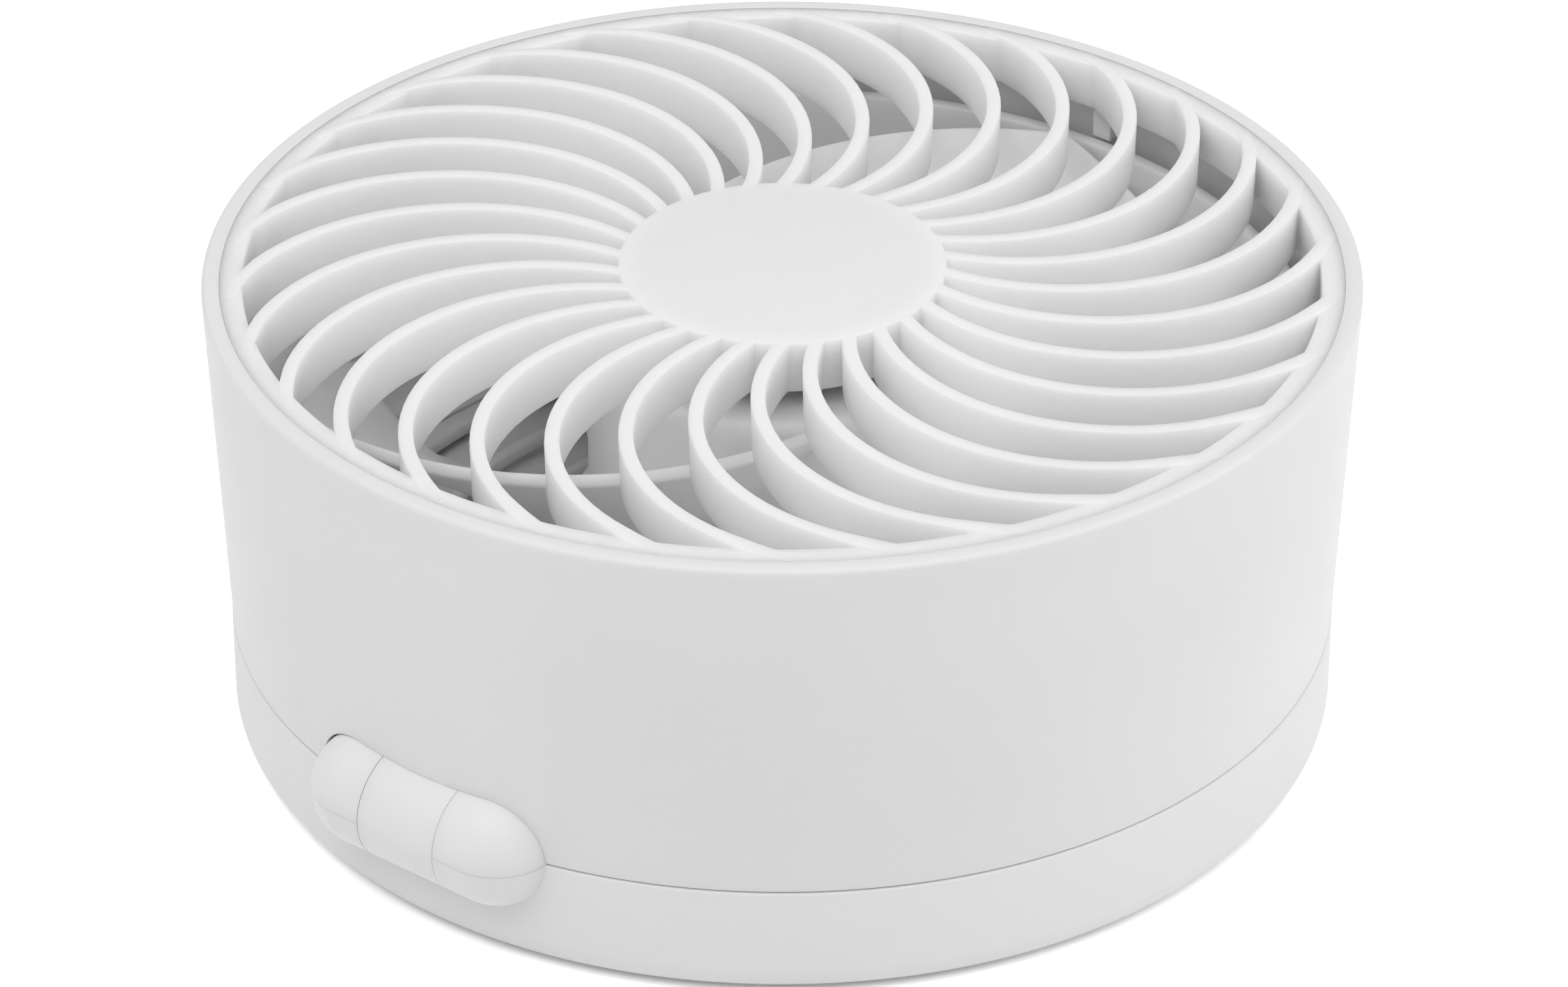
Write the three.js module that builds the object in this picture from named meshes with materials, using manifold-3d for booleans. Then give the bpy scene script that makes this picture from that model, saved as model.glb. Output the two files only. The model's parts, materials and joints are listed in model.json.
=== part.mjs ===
// Folding air circulator fan, closed, standing on its base. Millimetres, +Z up.
// The origin is the centre of the face it rests on; the hinge is at -Y and its axis runs along X.
import * as THREE from "three";
import { mergeVertices } from "three/addons/utils/BufferGeometryUtils.js";
import Module from "manifold-3d";

const wasm = await Module();
wasm.setup();

// ---------------------------------------------------------------- clearances
const FIT_GAP = 0.3;            // between pieces that seat on each other
const SEAM_GAP = 0.4;           // between the closed head and the base
const HINGE_GAP = 0.45;         // round a knuckle that turns past its neighbour
const KNUCKLE_SLIT = 0.3;       // between the faces of two knuckles
const JOIN = 0.6;               // how far features of one moulding run into each other
const CUT_PAST = 1;             // how far a cutter passes the face that it opens
const BLIND_END = 1;            // material left beyond the end of a screw hole

// ---------------------------------------------------------------- overall sizes
const RIM_RADIUS = 80;          // drum at its top
const RIM_HEIGHT = 68.8;        // the drum's lip and the grille's ring
const SEAM_HEIGHT = 17.3;       // top edge of the base shell
const DRUM_FOOT_RADIUS = 77.7;  // drum at the seam
const BASE_STEP = 0.1;          // base wall outside the drum's foot, at the seam

// drum
const LIP_WIDTH = 2.5;
const DRUM_WALL = 2.5;
const RIM_EDGE = 0.6;           // softened edge of the lip
const FLANGE_THICKNESS = 2.6;
const INTAKE_INSET = 4.4;       // intake edge inside the circle of the duct screws
const SEAT_RIB_WIDTH = 3;
const SEAT_RIB_COUNT = 6;
const SEAT_RIB_ANGLE = 30;

// grille
const RING_WIDTH = 2.9;
const GRILLE_DEPTH = 7;
const VANE_COUNT = 30;
const VANE_THICKNESS = 2.05;
const VANE_PROUD = 0.6;         // vane tops above the ring's face
const VANE_ARC_BEYOND_RING = 3.1;   // how far the vane's circle reaches outside the ring
const VANE_ARC_INSIDE_DISC = 8.6;   // and inside the edge of the hub disc
const VANE_AZIMUTH = -0.3;      // of the first vane's arc centre, degrees
const DISC_PROUD = 0.65;        // hub disc above the ring's face
const DISC_RADIUS = 22.7;
const DISC_THICKNESS = 2;
const DISC_SKIRT = 1.8;
const DISC_EDGE = 0.3;          // softened edge of the disc

// duct
const DUCT_CLEARANCE = 0.5;     // between the duct and the narrow end of the drum
const DUCT_WALL = 2.1;
const DUCT_TOP_DROP = 11.8;     // duct rim below the ring's face
const DUCT_FOOT_WIDTH = 4;
const DUCT_FOOT_THICKNESS = 1.8;
const POCKET_WALL = 1.5;
const BOSS_RADIUS = 3.2;
const DUCT_BOSS_INSET = 3.7;    // screw circle inside the duct's inner face
const DUCT_BOSS_HEIGHT = 9;
const DUCT_SCREW_COUNT = 4;
const DUCT_SCREW_ANGLE = 45;

// rear guard
const GUARD_THICKNESS = 2;
const GUARD_HUB_RADIUS = 31;
const GUARD_RING_COUNT = 2;
const GUARD_RING_WIDTH = 1.8;
const GUARD_RIM_WIDTH = 3.4;
const GUARD_SPOKE_COUNT = 12;
const GUARD_SPOKE_WIDTH = 1.8;
const GUARD_SPOKE_ANGLE = 7.5;

// motor carrier
const MOTOR_CUP_CLEARANCE = 2;  // above the guard
const MOTOR_PLATE_THICKNESS = 2.5;
const MOTOR_CUP_RADIUS = 30;
const MOTOR_CUP_WALL = 2;
const MOTOR_CUP_DEPTH = 8;
const STRUT_COUNT = 5;
const STRUT_ANGLE = 90;
const STRUT_WIDTH = 2;
const STRUT_HEIGHT = 5;
const GUARD_SCREW_COUNT = 3;
const GUARD_SCREW_CIRCLE = 23;
const GUARD_SCREW_ANGLE = 30;
const MOTOR_SCREW_COUNT = 3;
const MOTOR_SCREW_CIRCLE = 15;
const MOTOR_SCREW_ANGLE = 90;

// motor
const BASE_PLATE_RADIUS = 22;
const BASE_PLATE_THICKNESS = 2;
const BEARING_OUTER_RADIUS = 5.5;
const BEARING_WIDTH = 4.2;
const BEARING_TUBE_WALL = 2.2;
const BEARING_TUBE_DROP = 1.4;  // below the bush in the can
const SHAFT_RADIUS = 2;
const SHAFT_END_RECESS = 0.5;   // above the underside of the motor base
const CLIP_RADIUS = 3.6;
const CLIP_THICKNESS = 0.6;
const CLIP_GROOVE_DEPTH = 0.7;
const CLIP_INSET = 0.8;         // above the end of the shaft
const WASHER_THICKNESS = 0.8;
const WASHER_INSET = 0.6;       // smaller than the bearing it presses on
const MOTOR_BOARD_THICKNESS = 1.2;
const MOTOR_BOARD_RADIUS = 20.6;
const MOTOR_AIR_GAP = 0.8;
const STATOR_SLOTS = 12;
const STATOR_SLOT_DEPTH = 7;
const STATOR_SLOT_WIDTH = 3;
const WINDING_INSET = 1;        // inside the stator's rim
const WINDING_INNER_RADIUS = 10.5;
const WINDING_HEIGHT = 3.8;
const WINDING_ROOM_BELOW = 1.3; // to the motor board
const WINDING_ROOM_ABOVE = 2.4; // to the inside of the can
const CAN_WALL = 1.2;
const CAN_CLEARANCE = 4.2;      // above the motor plate
const MAGNET_THICKNESS = 2.2;
const MAGNET_RECESS = 2.5;      // above the can's open edge
const MAGNET_DROP = 3;          // below the can's closed end
const BUSH_RADIUS = 5;
const BUSH_HEIGHT = 3;

// impeller
const HUB_RADIUS = 27.2;
const HUB_WALL = 2.2;
const HUB_TOP_DROP = 9.6;       // hub top below the ring's face
const HUB_TOP_THICKNESS = 2;
const HUB_EDGE = 1.6;
const BLADE_COUNT = 5;
const BLADE_TOP_DROP = 10.4;    // trailing edge below the ring's face
const BLADE_CLEARANCE = 2.8;    // leading edge above the motor plate and its struts
const BLADE_TIP_GAP = 1.8;      // to the duct
const BLADE_THICKNESS = 1.8;
const TRAIL_ARC_BEYOND_TIP = 9.7;   // how far the trailing edge's circle reaches past the tip
const TRAIL_ARC_INSIDE_ROOT = 6.2;  // and how far inside the root it passes the axis
const TRAIL_ARC_AZIMUTH = 199.3;
const LEAD_ARC_CENTRE = 63.1;       // of the leading edge's circle, from the fan's axis
const LEAD_ARC_INSIDE_ROOT = 0.3;
const LEAD_ARC_AZIMUTH = 106;
const BLADE_SPAN_STEPS = 8;
const BLADE_CHORD_STEPS = 5;

// hinge
const HINGE_INSET = 2.65;       // hinge axis inside the drum's foot
const KNUCKLE_RADIUS = 8.4;
const BARREL_HALF = 11.1;       // half length of the straight part of the barrel
const MIDDLE_HALF = 6.64;       // half length of the middle knuckle
const NECK_HALF = 4.6;
const NECK_OVERLAP = 1.45;      // how far the neck rises above the hinge pocket
const NECK_SETBACK = 0.3;       // inside the drum's face
const NECK_THICKNESS = 1.9;
const NECK_ROOT = 2;            // how deep the neck runs into its knuckle
const PIN_RADIUS = 2;
const PIN_HALF = 16;
const SLEEVE_RADIUS = 3.8;
const WASHER_RADIUS = 4.6;
const HINGE_WASHER_THICKNESS = 1;

// base
const PAD_RADIUS = 60;
const PAD_THICKNESS = 1.2;
const PAD_PROUD = 0.8;
const BASE_WALL = 2.4;
const BASE_FLOOR = 2.5;
const BASE_EDGE_WIDTH = 4;      // rounded lower edge
const BASE_EDGE_HEIGHT = 4.3;
const BASE_EDGE_STEPS = 3;
const BASE_INNER_EDGE = 3;      // chamfer where the wall meets the floor inside
const DECK_THICKNESS = 2;
const DECK_DROP = 0.3;          // deck face below the shell's top edge
const LEDGE_WIDTH = 1.4;
const CASE_SCREW_COUNT = 4;
const CASE_SCREW_CIRCLE = 56;
const CASE_SCREW_ANGLE = 45;
const SCREW_SEAT_WALL = 2;
const SCREW_SEAT_HEIGHT = 1.8;
const BATTERY = { width: 62, depth: 44, height: 8.4, y: -16 };
const FOAM = { width: 50, depth: 34, gapToBattery: 0.7 };
const BOARD = { width: 38, depth: 26, thickness: 1.6, gapToWall: 3.4 };
const STANDOFF = { radius: 2.4, height: 2.2, inset: 4 };
const SOCKET = { width: 9, height: 3.2, depth: 7.4, wall: 0.4, backWall: 1.2, x: 13, recess: 0.8 };
const SOCKET_TONGUE = { width: 6.4, thickness: 0.7, recess: 1.2 };
const SOCKET_SLOT = { width: 10, height: 4.2 };
const BUTTON = { radius: 3.6, flange: 4.6, flangeThickness: 1, proud: 0.7, belowDeck: 5.4 };
const BUTTON_TRAVEL = 0.6;
const FLANGE_ROOM_DEPTH = 4;
const SWITCH = { width: 6.2, height: 4.4, depth: 4 };
const LIGHT = { radius: 1, x: -11, gapToBoard: 1 };
const WALL_CUT_DEPTH = 14;      // cutters for the openings in the side wall

// screws
const SCREW_RADIUS = 1.25;
const SCREW_HEAD_RADIUS = 2.3;
const SCREW_HEAD_HEIGHT = 1.3;
const DUCT_SCREW_LENGTH = 6;
const GUARD_SCREW_LENGTH = 6;
const MOTOR_SCREW_LENGTH = 4.6;
const CASE_SCREW_LENGTH = 7;

// facets
const SHELL_SEGMENTS = 60;
const INNER_SEGMENTS = 40;
const MOTOR_SEGMENTS = 28;
const SMALL_SEGMENTS = 16;
const SCREW_SEGMENTS = 6;
const KNUCKLE_SEGMENTS = 24;
const KNUCKLE_END_STEPS = 5;
const VANE_CURVE_STEPS = 4;

// ---------------------------------------------------------------- worked-out sizes
const DRUM_BOTTOM = SEAM_HEIGHT + SEAM_GAP;
const DRUM_SLOPE = (RIM_RADIUS - DRUM_FOOT_RADIUS) / (RIM_HEIGHT - DRUM_BOTTOM);
const drumRadiusAt = (z) => DRUM_FOOT_RADIUS + DRUM_SLOPE * (z - DRUM_BOTTOM);
const FLANGE_TOP = DRUM_BOTTOM + FLANGE_THICKNESS;
const BASE_RADIUS = DRUM_FOOT_RADIUS + BASE_STEP;
const LIP_RADIUS = RIM_RADIUS - LIP_WIDTH;
const RING_OUTER_RADIUS = LIP_RADIUS - FIT_GAP;
const RING_INNER_RADIUS = RING_OUTER_RADIUS - RING_WIDTH;
const VANE_ARC_FAR = RING_OUTER_RADIUS + VANE_ARC_BEYOND_RING;
const VANE_ARC_NEAR = DISC_RADIUS - VANE_ARC_INSIDE_DISC;
const VANE_ARC_RADIUS = (VANE_ARC_FAR - VANE_ARC_NEAR) / 2;
const VANE_ARC_CENTRE = (VANE_ARC_FAR + VANE_ARC_NEAR) / 2;   // from the fan's axis
const GRILLE_BOTTOM = RIM_HEIGHT - GRILLE_DEPTH;
const DUCT_TOP = RIM_HEIGHT - DUCT_TOP_DROP;
const DUCT_BOTTOM = FLANGE_TOP + FIT_GAP;
const DUCT_OUTER_RADIUS = Math.min(DRUM_FOOT_RADIUS, RIM_RADIUS) - DRUM_WALL - DUCT_CLEARANCE;
const DUCT_INNER_RADIUS = DUCT_OUTER_RADIUS - DUCT_WALL;
const DUCT_BOSS_CIRCLE = DUCT_INNER_RADIUS - DUCT_BOSS_INSET;
const INTAKE_RADIUS = DUCT_BOSS_CIRCLE - INTAKE_INSET;
const GUARD_RADIUS = INTAKE_RADIUS - FIT_GAP;
const GUARD_TOP = DRUM_BOTTOM + FIT_GAP + GUARD_THICKNESS;
const MOTOR_CUP_BOTTOM = GUARD_TOP + MOTOR_CUP_CLEARANCE;
const MOTOR_PLATE_HEIGHT = MOTOR_CUP_BOTTOM + MOTOR_CUP_DEPTH;   // top face of the motor plate
const MOTOR_PLATE_BOTTOM = MOTOR_PLATE_HEIGHT - MOTOR_PLATE_THICKNESS;
const GUARD_BOSS_BOTTOM = GUARD_TOP + FIT_GAP;
const MOTOR_BASE_BOTTOM = MOTOR_PLATE_HEIGHT + FIT_GAP;
const MOTOR_BASE_TOP = MOTOR_BASE_BOTTOM + BASE_PLATE_THICKNESS;
const BEARING_BORE = BEARING_OUTER_RADIUS + FIT_GAP;
const TUBE_RADIUS = BEARING_BORE + BEARING_TUBE_WALL;
const SHAFT_BORE = SHAFT_RADIUS + FIT_GAP;
const SHAFT_LOW_END = MOTOR_BASE_BOTTOM + SHAFT_END_RECESS;
const CLIP_HEIGHT = SHAFT_LOW_END + CLIP_INSET;
const MOTOR_BOARD_BOTTOM = MOTOR_BASE_TOP + FIT_GAP;
const MOTOR_BOARD_TOP = MOTOR_BOARD_BOTTOM + MOTOR_BOARD_THICKNESS;
const HUB_TOP = RIM_HEIGHT - HUB_TOP_DROP;
const BLADE_TOP = RIM_HEIGHT - BLADE_TOP_DROP;
const BLADE_BOTTOM = MOTOR_PLATE_HEIGHT + BLADE_CLEARANCE;
const BLADE_HEIGHT = BLADE_TOP - BLADE_BOTTOM;
const BLADE_TIP_RADIUS = DUCT_INNER_RADIUS - BLADE_TIP_GAP;
const BLADE_ROOT_RADIUS = HUB_RADIUS - HUB_WALL / 2;
const TRAIL_ARC_FAR = BLADE_TIP_RADIUS + TRAIL_ARC_BEYOND_TIP;
const TRAIL_ARC_NEAR = BLADE_ROOT_RADIUS - TRAIL_ARC_INSIDE_ROOT;
const TRAIL_ARC_RADIUS = (TRAIL_ARC_FAR + TRAIL_ARC_NEAR) / 2;
const TRAIL_ARC_CENTRE = (TRAIL_ARC_FAR - TRAIL_ARC_NEAR) / 2;
const LEAD_ARC_RADIUS = LEAD_ARC_CENTRE + BLADE_ROOT_RADIUS - LEAD_ARC_INSIDE_ROOT;
const CAN_TOP = HUB_TOP - HUB_TOP_THICKNESS - FIT_GAP;
const CAN_RADIUS = HUB_RADIUS - HUB_WALL - FIT_GAP;
const CAN_BOTTOM = MOTOR_PLATE_HEIGHT + CAN_CLEARANCE;
const CAN_INSIDE_TOP = CAN_TOP - CAN_WALL;
const MAGNET_RADIUS = CAN_RADIUS - CAN_WALL - FIT_GAP;
const MAGNET_INNER_RADIUS = MAGNET_RADIUS - MAGNET_THICKNESS;
const STATOR_RADIUS = MAGNET_INNER_RADIUS - MOTOR_AIR_GAP;
const WINDING_RADIUS = STATOR_RADIUS - WINDING_INSET;
const STATOR_BOTTOM = MOTOR_BOARD_TOP + WINDING_ROOM_BELOW + WINDING_HEIGHT + FIT_GAP;
const STATOR_TOP = CAN_INSIDE_TOP - WINDING_ROOM_ABOVE - WINDING_HEIGHT - FIT_GAP;
const BUSH_BOTTOM = CAN_INSIDE_TOP - FIT_GAP - BUSH_HEIGHT;
const BEARING_TUBE_TOP = BUSH_BOTTOM - BEARING_TUBE_DROP;
const HINGE_OFFSET = DRUM_FOOT_RADIUS - HINGE_INSET;            // from the fan's axis
const HINGE_HEIGHT = SEAM_HEIGHT;
const POCKET_RADIUS = KNUCKLE_RADIUS + HINGE_GAP;
const NECK_HEIGHT = HINGE_HEIGHT + POCKET_RADIUS + NECK_OVERLAP;
const MIDDLE_FACE = MIDDLE_HALF - KNUCKLE_SLIT / 2;
const END_FACE = MIDDLE_HALF + KNUCKLE_SLIT / 2;
const SPLIT_HEIGHT = SEAM_HEIGHT;                 // crease along the end knuckles
const PAD_SEAT = PAD_THICKNESS + FIT_GAP;
const FLOOR_TOP = PAD_PROUD + BASE_FLOOR;
const BASE_INNER_RADIUS = BASE_RADIUS - BASE_WALL;
const DECK_TOP = SEAM_HEIGHT - DECK_DROP;
const DECK_BOTTOM = DECK_TOP - DECK_THICKNESS;
const DECK_RADIUS = BASE_INNER_RADIUS - FIT_GAP;
const LEDGE_TOP = DECK_BOTTOM - FIT_GAP;
const BUTTON_HEIGHT = DECK_BOTTOM - BUTTON.belowDeck;
const BATTERY_BOTTOM = FLOOR_TOP + FIT_GAP;
const FOAM_TOP = DECK_BOTTOM - FIT_GAP;
const FOAM_BOTTOM = BATTERY_BOTTOM + BATTERY.height + FOAM.gapToBattery;
const BOARD_BOTTOM = FLOOR_TOP + STANDOFF.height + FIT_GAP;
const BOARD_TOP = BOARD_BOTTOM + BOARD.thickness;
const BOARD_Y = BASE_INNER_RADIUS - BOARD.gapToWall - BOARD.depth / 2;
const SOCKET_Z = BOARD_TOP + FIT_GAP + SOCKET.height / 2;
const FLANGE_SEAT_Y = Math.sqrt(BASE_INNER_RADIUS ** 2 - BUTTON.flange ** 2);
const PIN_BORE = PIN_RADIUS + FIT_GAP;
const SLEEVE_BORE = SLEEVE_RADIUS + FIT_GAP;
const SCREW_HOLE = SCREW_RADIUS + FIT_GAP;
const HEAD_HOLE = SCREW_HEAD_RADIUS + FIT_GAP;
const FAR = 200;                                  // reaches past the whole fan

const radians = THREE.MathUtils.degToRad;

// ---------------------------------------------------------------- solids from geometries
function toSolid(geometry) {
  const bare = geometry.clone();
  for (const name of Object.keys(bare.attributes)) {
    if (name !== "position") bare.deleteAttribute(name);
  }
  const merged = mergeVertices(bare, 1e-4);
  const index = merged.getIndex().array;
  const triangles = [];
  for (let i = 0; i < index.length; i += 3) {
    const [a, b, c] = [index[i], index[i + 1], index[i + 2]];
    if (a !== b && b !== c && a !== c) triangles.push(a, b, c);
  }
  const mesh = new wasm.Mesh({
    numProp: 3,
    vertProperties: new Float32Array(merged.getAttribute("position").array),
    triVerts: new Uint32Array(triangles),
  });
  return new wasm.Manifold(mesh);
}

function toGeometry(solid) {
  const mesh = solid.getMesh();
  const geometry = new THREE.BufferGeometry();
  const position = new Float32Array(mesh.numVert * 3);
  for (let i = 0; i < mesh.numVert; i += 1) {
    for (let k = 0; k < 3; k += 1) position[3 * i + k] = mesh.vertProperties[i * mesh.numProp + k];
  }
  geometry.setAttribute("position", new THREE.BufferAttribute(position, 3));
  geometry.setIndex(new THREE.BufferAttribute(new Uint32Array(mesh.triVerts), 1));
  return geometry;
}

const join = (first, ...others) => others.reduce((sum, next) => sum.add(next), first);
const cut = (first, ...others) => others.reduce((rest, next) => rest.subtract(next), first);

// closed profile of [radius, height] points, turned about the fan's axis
function turned(points, segments = INNER_SEGMENTS) {
  let area = 0;
  points.forEach(([r, z], i) => {
    const [nextR, nextZ] = points[(i + 1) % points.length];
    area += r * nextZ - nextR * z;
  });
  const ordered = area > 0 ? points : [...points].reverse();
  const loop = [...ordered, ordered[0]].map(([r, z]) => new THREE.Vector2(r, z));
  const geometry = new THREE.LatheGeometry(loop, segments);
  geometry.rotateX(Math.PI / 2);
  return toSolid(geometry);
}

const disc = (radius, low, high, segments) =>
  turned([[0, low], [radius, low], [radius, high], [0, high]], segments);

const tube = (inner, outer, low, high, segments) =>
  turned([[inner, low], [outer, low], [outer, high], [inner, high]], segments);

function block(width, depth, height, x, y, z) {
  const geometry = new THREE.BoxGeometry(width, depth, height);
  geometry.translate(x, y, z);
  return toSolid(geometry);
}

function postAt(radius, low, high, x, y, segments = SCREW_SEGMENTS) {
  const geometry = new THREE.CylinderGeometry(radius, radius, high - low, segments);
  geometry.rotateX(Math.PI / 2);
  geometry.translate(x, y, (low + high) / 2);
  return toSolid(geometry);
}

// cylinder along X on the hinge axis
function hingeCylinder(radius, fromX, toX, segments = SMALL_SEGMENTS) {
  const geometry = new THREE.CylinderGeometry(radius, radius, toX - fromX, segments);
  geometry.rotateZ(Math.PI / 2);
  geometry.translate((fromX + toX) / 2, -HINGE_OFFSET, HINGE_HEIGHT);
  return toSolid(geometry);
}

function hingeCapsule(radius) {
  const geometry = new THREE.CapsuleGeometry(radius, 2 * BARREL_HALF, KNUCKLE_END_STEPS, KNUCKLE_SEGMENTS);
  geometry.rotateZ(Math.PI / 2);
  geometry.translate(0, -HINGE_OFFSET, HINGE_HEIGHT);
  return toSolid(geometry);
}

const polar = (radius, degrees) =>
  [radius * Math.cos(radians(degrees)), radius * Math.sin(radians(degrees))];

const around = (count, startDegrees) =>
  Array.from({ length: count }, (_, i) => startDegrees + (360 * i) / count);

// azimuth, in degrees, where a circular arc in plan meets the given radius
function arcAzimuth(radius, arcRadius, arcCentre, centreAzimuth) {
  const cosine = (arcCentre ** 2 + radius ** 2 - arcRadius ** 2) / (2 * arcCentre * radius);
  return centreAzimuth + THREE.MathUtils.radToDeg(Math.acos(cosine));
}

// ---------------------------------------------------------------- group and materials
const fan = new THREE.Group();
const head = new THREE.Group();
const rotor = new THREE.Group();
const base = new THREE.Group();
head.add(rotor);
fan.add(base, head);

const FINISHES = {
  whitePlastic: { color: 0xe9e9e9, roughness: 0.55, metalness: 0 },
  whiteBlade: { color: 0xe4e4e4, roughness: 0.5, metalness: 0 },
  greyRubber: { color: 0xc9c9c7, roughness: 0.9, metalness: 0 },
  blackPlastic: { color: 0x222222, roughness: 0.6, metalness: 0 },
  clearPlastic: { color: 0xf4f4f0, roughness: 0.25, metalness: 0 },
  steel: { color: 0xb4b6b8, roughness: 0.35, metalness: 1 },
  zincScrew: { color: 0x9a9c9e, roughness: 0.4, metalness: 1 },
  brass: { color: 0xc2a15a, roughness: 0.35, metalness: 1 },
  copper: { color: 0xb5683a, roughness: 0.4, metalness: 1 },
  laminate: { color: 0x8d8f92, roughness: 0.5, metalness: 0.8 },
  magnet: { color: 0x3a3a3c, roughness: 0.7, metalness: 0.2 },
  board: { color: 0x1f5b3a, roughness: 0.5, metalness: 0 },
  battery: { color: 0xaeb4b9, roughness: 0.35, metalness: 0.5 },
  foam: { color: 0x3d3d3f, roughness: 1, metalness: 0 },
};

function addPart(parent, name, solid, finish) {
  const material = new THREE.MeshStandardMaterial(FINISHES[finish]);
  const mesh = new THREE.Mesh(toGeometry(solid), material);
  mesh.name = name;
  parent.add(mesh);
}

// screw with its head at the bottom, driven upwards from headLow
function screw(length, x, y, headLow) {
  const headTop = headLow + SCREW_HEAD_HEIGHT;
  const cap = postAt(SCREW_HEAD_RADIUS, headLow, headTop, x, y);
  const shank = postAt(SCREW_RADIUS, headTop - JOIN, headTop + length, x, y);
  return join(cap, shank);
}

// ---------------------------------------------------------------- drum
function makeDrum() {
  const innerFoot = DRUM_FOOT_RADIUS - DRUM_WALL;
  const wall = turned([
    [INTAKE_RADIUS, DRUM_BOTTOM], [DRUM_FOOT_RADIUS, DRUM_BOTTOM],
    [drumRadiusAt(RIM_HEIGHT - RIM_EDGE), RIM_HEIGHT - RIM_EDGE],
    [RIM_RADIUS - RIM_EDGE, RIM_HEIGHT], [LIP_RADIUS, RIM_HEIGHT],
    [LIP_RADIUS, GRILLE_BOTTOM], [innerFoot, FLANGE_TOP], [INTAKE_RADIUS, FLANGE_TOP],
  ], SHELL_SEGMENTS);
  // ribs that the grille's ring sits on
  const ribTop = GRILLE_BOTTOM - FIT_GAP;
  const ribInner = DUCT_OUTER_RADIUS + FIT_GAP;
  const ribs = around(SEAT_RIB_COUNT, SEAT_RIB_ANGLE).map((angle) => {
    const depth = LIP_RADIUS + JOIN - ribInner;
    const rib = new THREE.BoxGeometry(depth, SEAT_RIB_WIDTH, ribTop - DUCT_TOP);
    rib.translate(ribInner + depth / 2, 0, (ribTop + DUCT_TOP) / 2);
    rib.rotateZ(radians(angle));
    return toSolid(rib);
  });
  const screwHoles = around(DUCT_SCREW_COUNT, DUCT_SCREW_ANGLE).flatMap((angle) => {
    const [x, y] = polar(DUCT_BOSS_CIRCLE, angle);
    return [
      postAt(SCREW_HOLE, DRUM_BOTTOM - CUT_PAST, FLANGE_TOP + CUT_PAST, x, y),
      postAt(HEAD_HOLE, DRUM_BOTTOM - CUT_PAST, DRUM_BOTTOM + SCREW_HEAD_HEIGHT + FIT_GAP, x, y),
    ];
  });
  const shell = cut(join(wall, ...ribs), hingeCapsule(POCKET_RADIUS), ...screwHoles);
  const knuckle = cut(
    hingeCylinder(KNUCKLE_RADIUS, -MIDDLE_FACE, MIDDLE_FACE, KNUCKLE_SEGMENTS),
    hingeCylinder(SLEEVE_BORE, -MIDDLE_FACE - CUT_PAST, MIDDLE_FACE + CUT_PAST),
  );
  const neckFace = drumRadiusAt(NECK_HEIGHT) - NECK_SETBACK;
  const neckLow = HINGE_HEIGHT + KNUCKLE_RADIUS - NECK_ROOT;
  const neck = block(2 * NECK_HALF, NECK_THICKNESS, NECK_HEIGHT - neckLow,
    0, NECK_THICKNESS / 2 - neckFace, (NECK_HEIGHT + neckLow) / 2);
  return join(shell, neck, knuckle);
}

// ---------------------------------------------------------------- front grille
function vanePlan() {
  // angles are seen from the arc's centre, measured from the direction back to the fan's axis
  const angleAt = (radius) => Math.acos(
    (VANE_ARC_CENTRE ** 2 + VANE_ARC_RADIUS ** 2 - radius ** 2)
      / (2 * VANE_ARC_CENTRE * VANE_ARC_RADIUS),
  );
  const from = Math.PI + angleAt(DISC_RADIUS - DISC_SKIRT / 2);
  const to = Math.PI + angleAt((RING_INNER_RADIUS + RING_OUTER_RADIUS) / 2);
  const half = VANE_THICKNESS / 2;
  const plan = new THREE.Shape();
  plan.absarc(VANE_ARC_CENTRE, 0, VANE_ARC_RADIUS + half, from, to, false);
  plan.absarc(VANE_ARC_CENTRE, 0, VANE_ARC_RADIUS - half, to, from, true);
  return plan;
}

function makeGrille() {
  const ring = turned([
    [RING_INNER_RADIUS, GRILLE_BOTTOM], [RING_OUTER_RADIUS, GRILLE_BOTTOM],
    [RING_OUTER_RADIUS, RIM_HEIGHT], [RING_INNER_RADIUS, RIM_HEIGHT],
  ], SHELL_SEGMENTS);
  const skirtInner = DISC_RADIUS - DISC_SKIRT;
  const discTop = RIM_HEIGHT + DISC_PROUD;
  const discUnder = discTop - DISC_THICKNESS;
  const cap = turned([
    [0, discUnder], [skirtInner, discUnder], [skirtInner, GRILLE_BOTTOM], [DISC_RADIUS, GRILLE_BOTTOM],
    [DISC_RADIUS, discTop - DISC_EDGE], [DISC_RADIUS - DISC_EDGE, discTop], [0, discTop],
  ], MOTOR_SEGMENTS);
  const plan = vanePlan();
  const vanes = around(VANE_COUNT, VANE_AZIMUTH).map((angle) => {
    const vane = new THREE.ExtrudeGeometry(plan, {
      depth: GRILLE_DEPTH + VANE_PROUD, bevelEnabled: false, curveSegments: VANE_CURVE_STEPS,
    });
    vane.translate(0, 0, GRILLE_BOTTOM);
    vane.rotateZ(radians(angle));
    return toSolid(vane);
  });
  return join(ring, cap, ...vanes);
}

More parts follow.
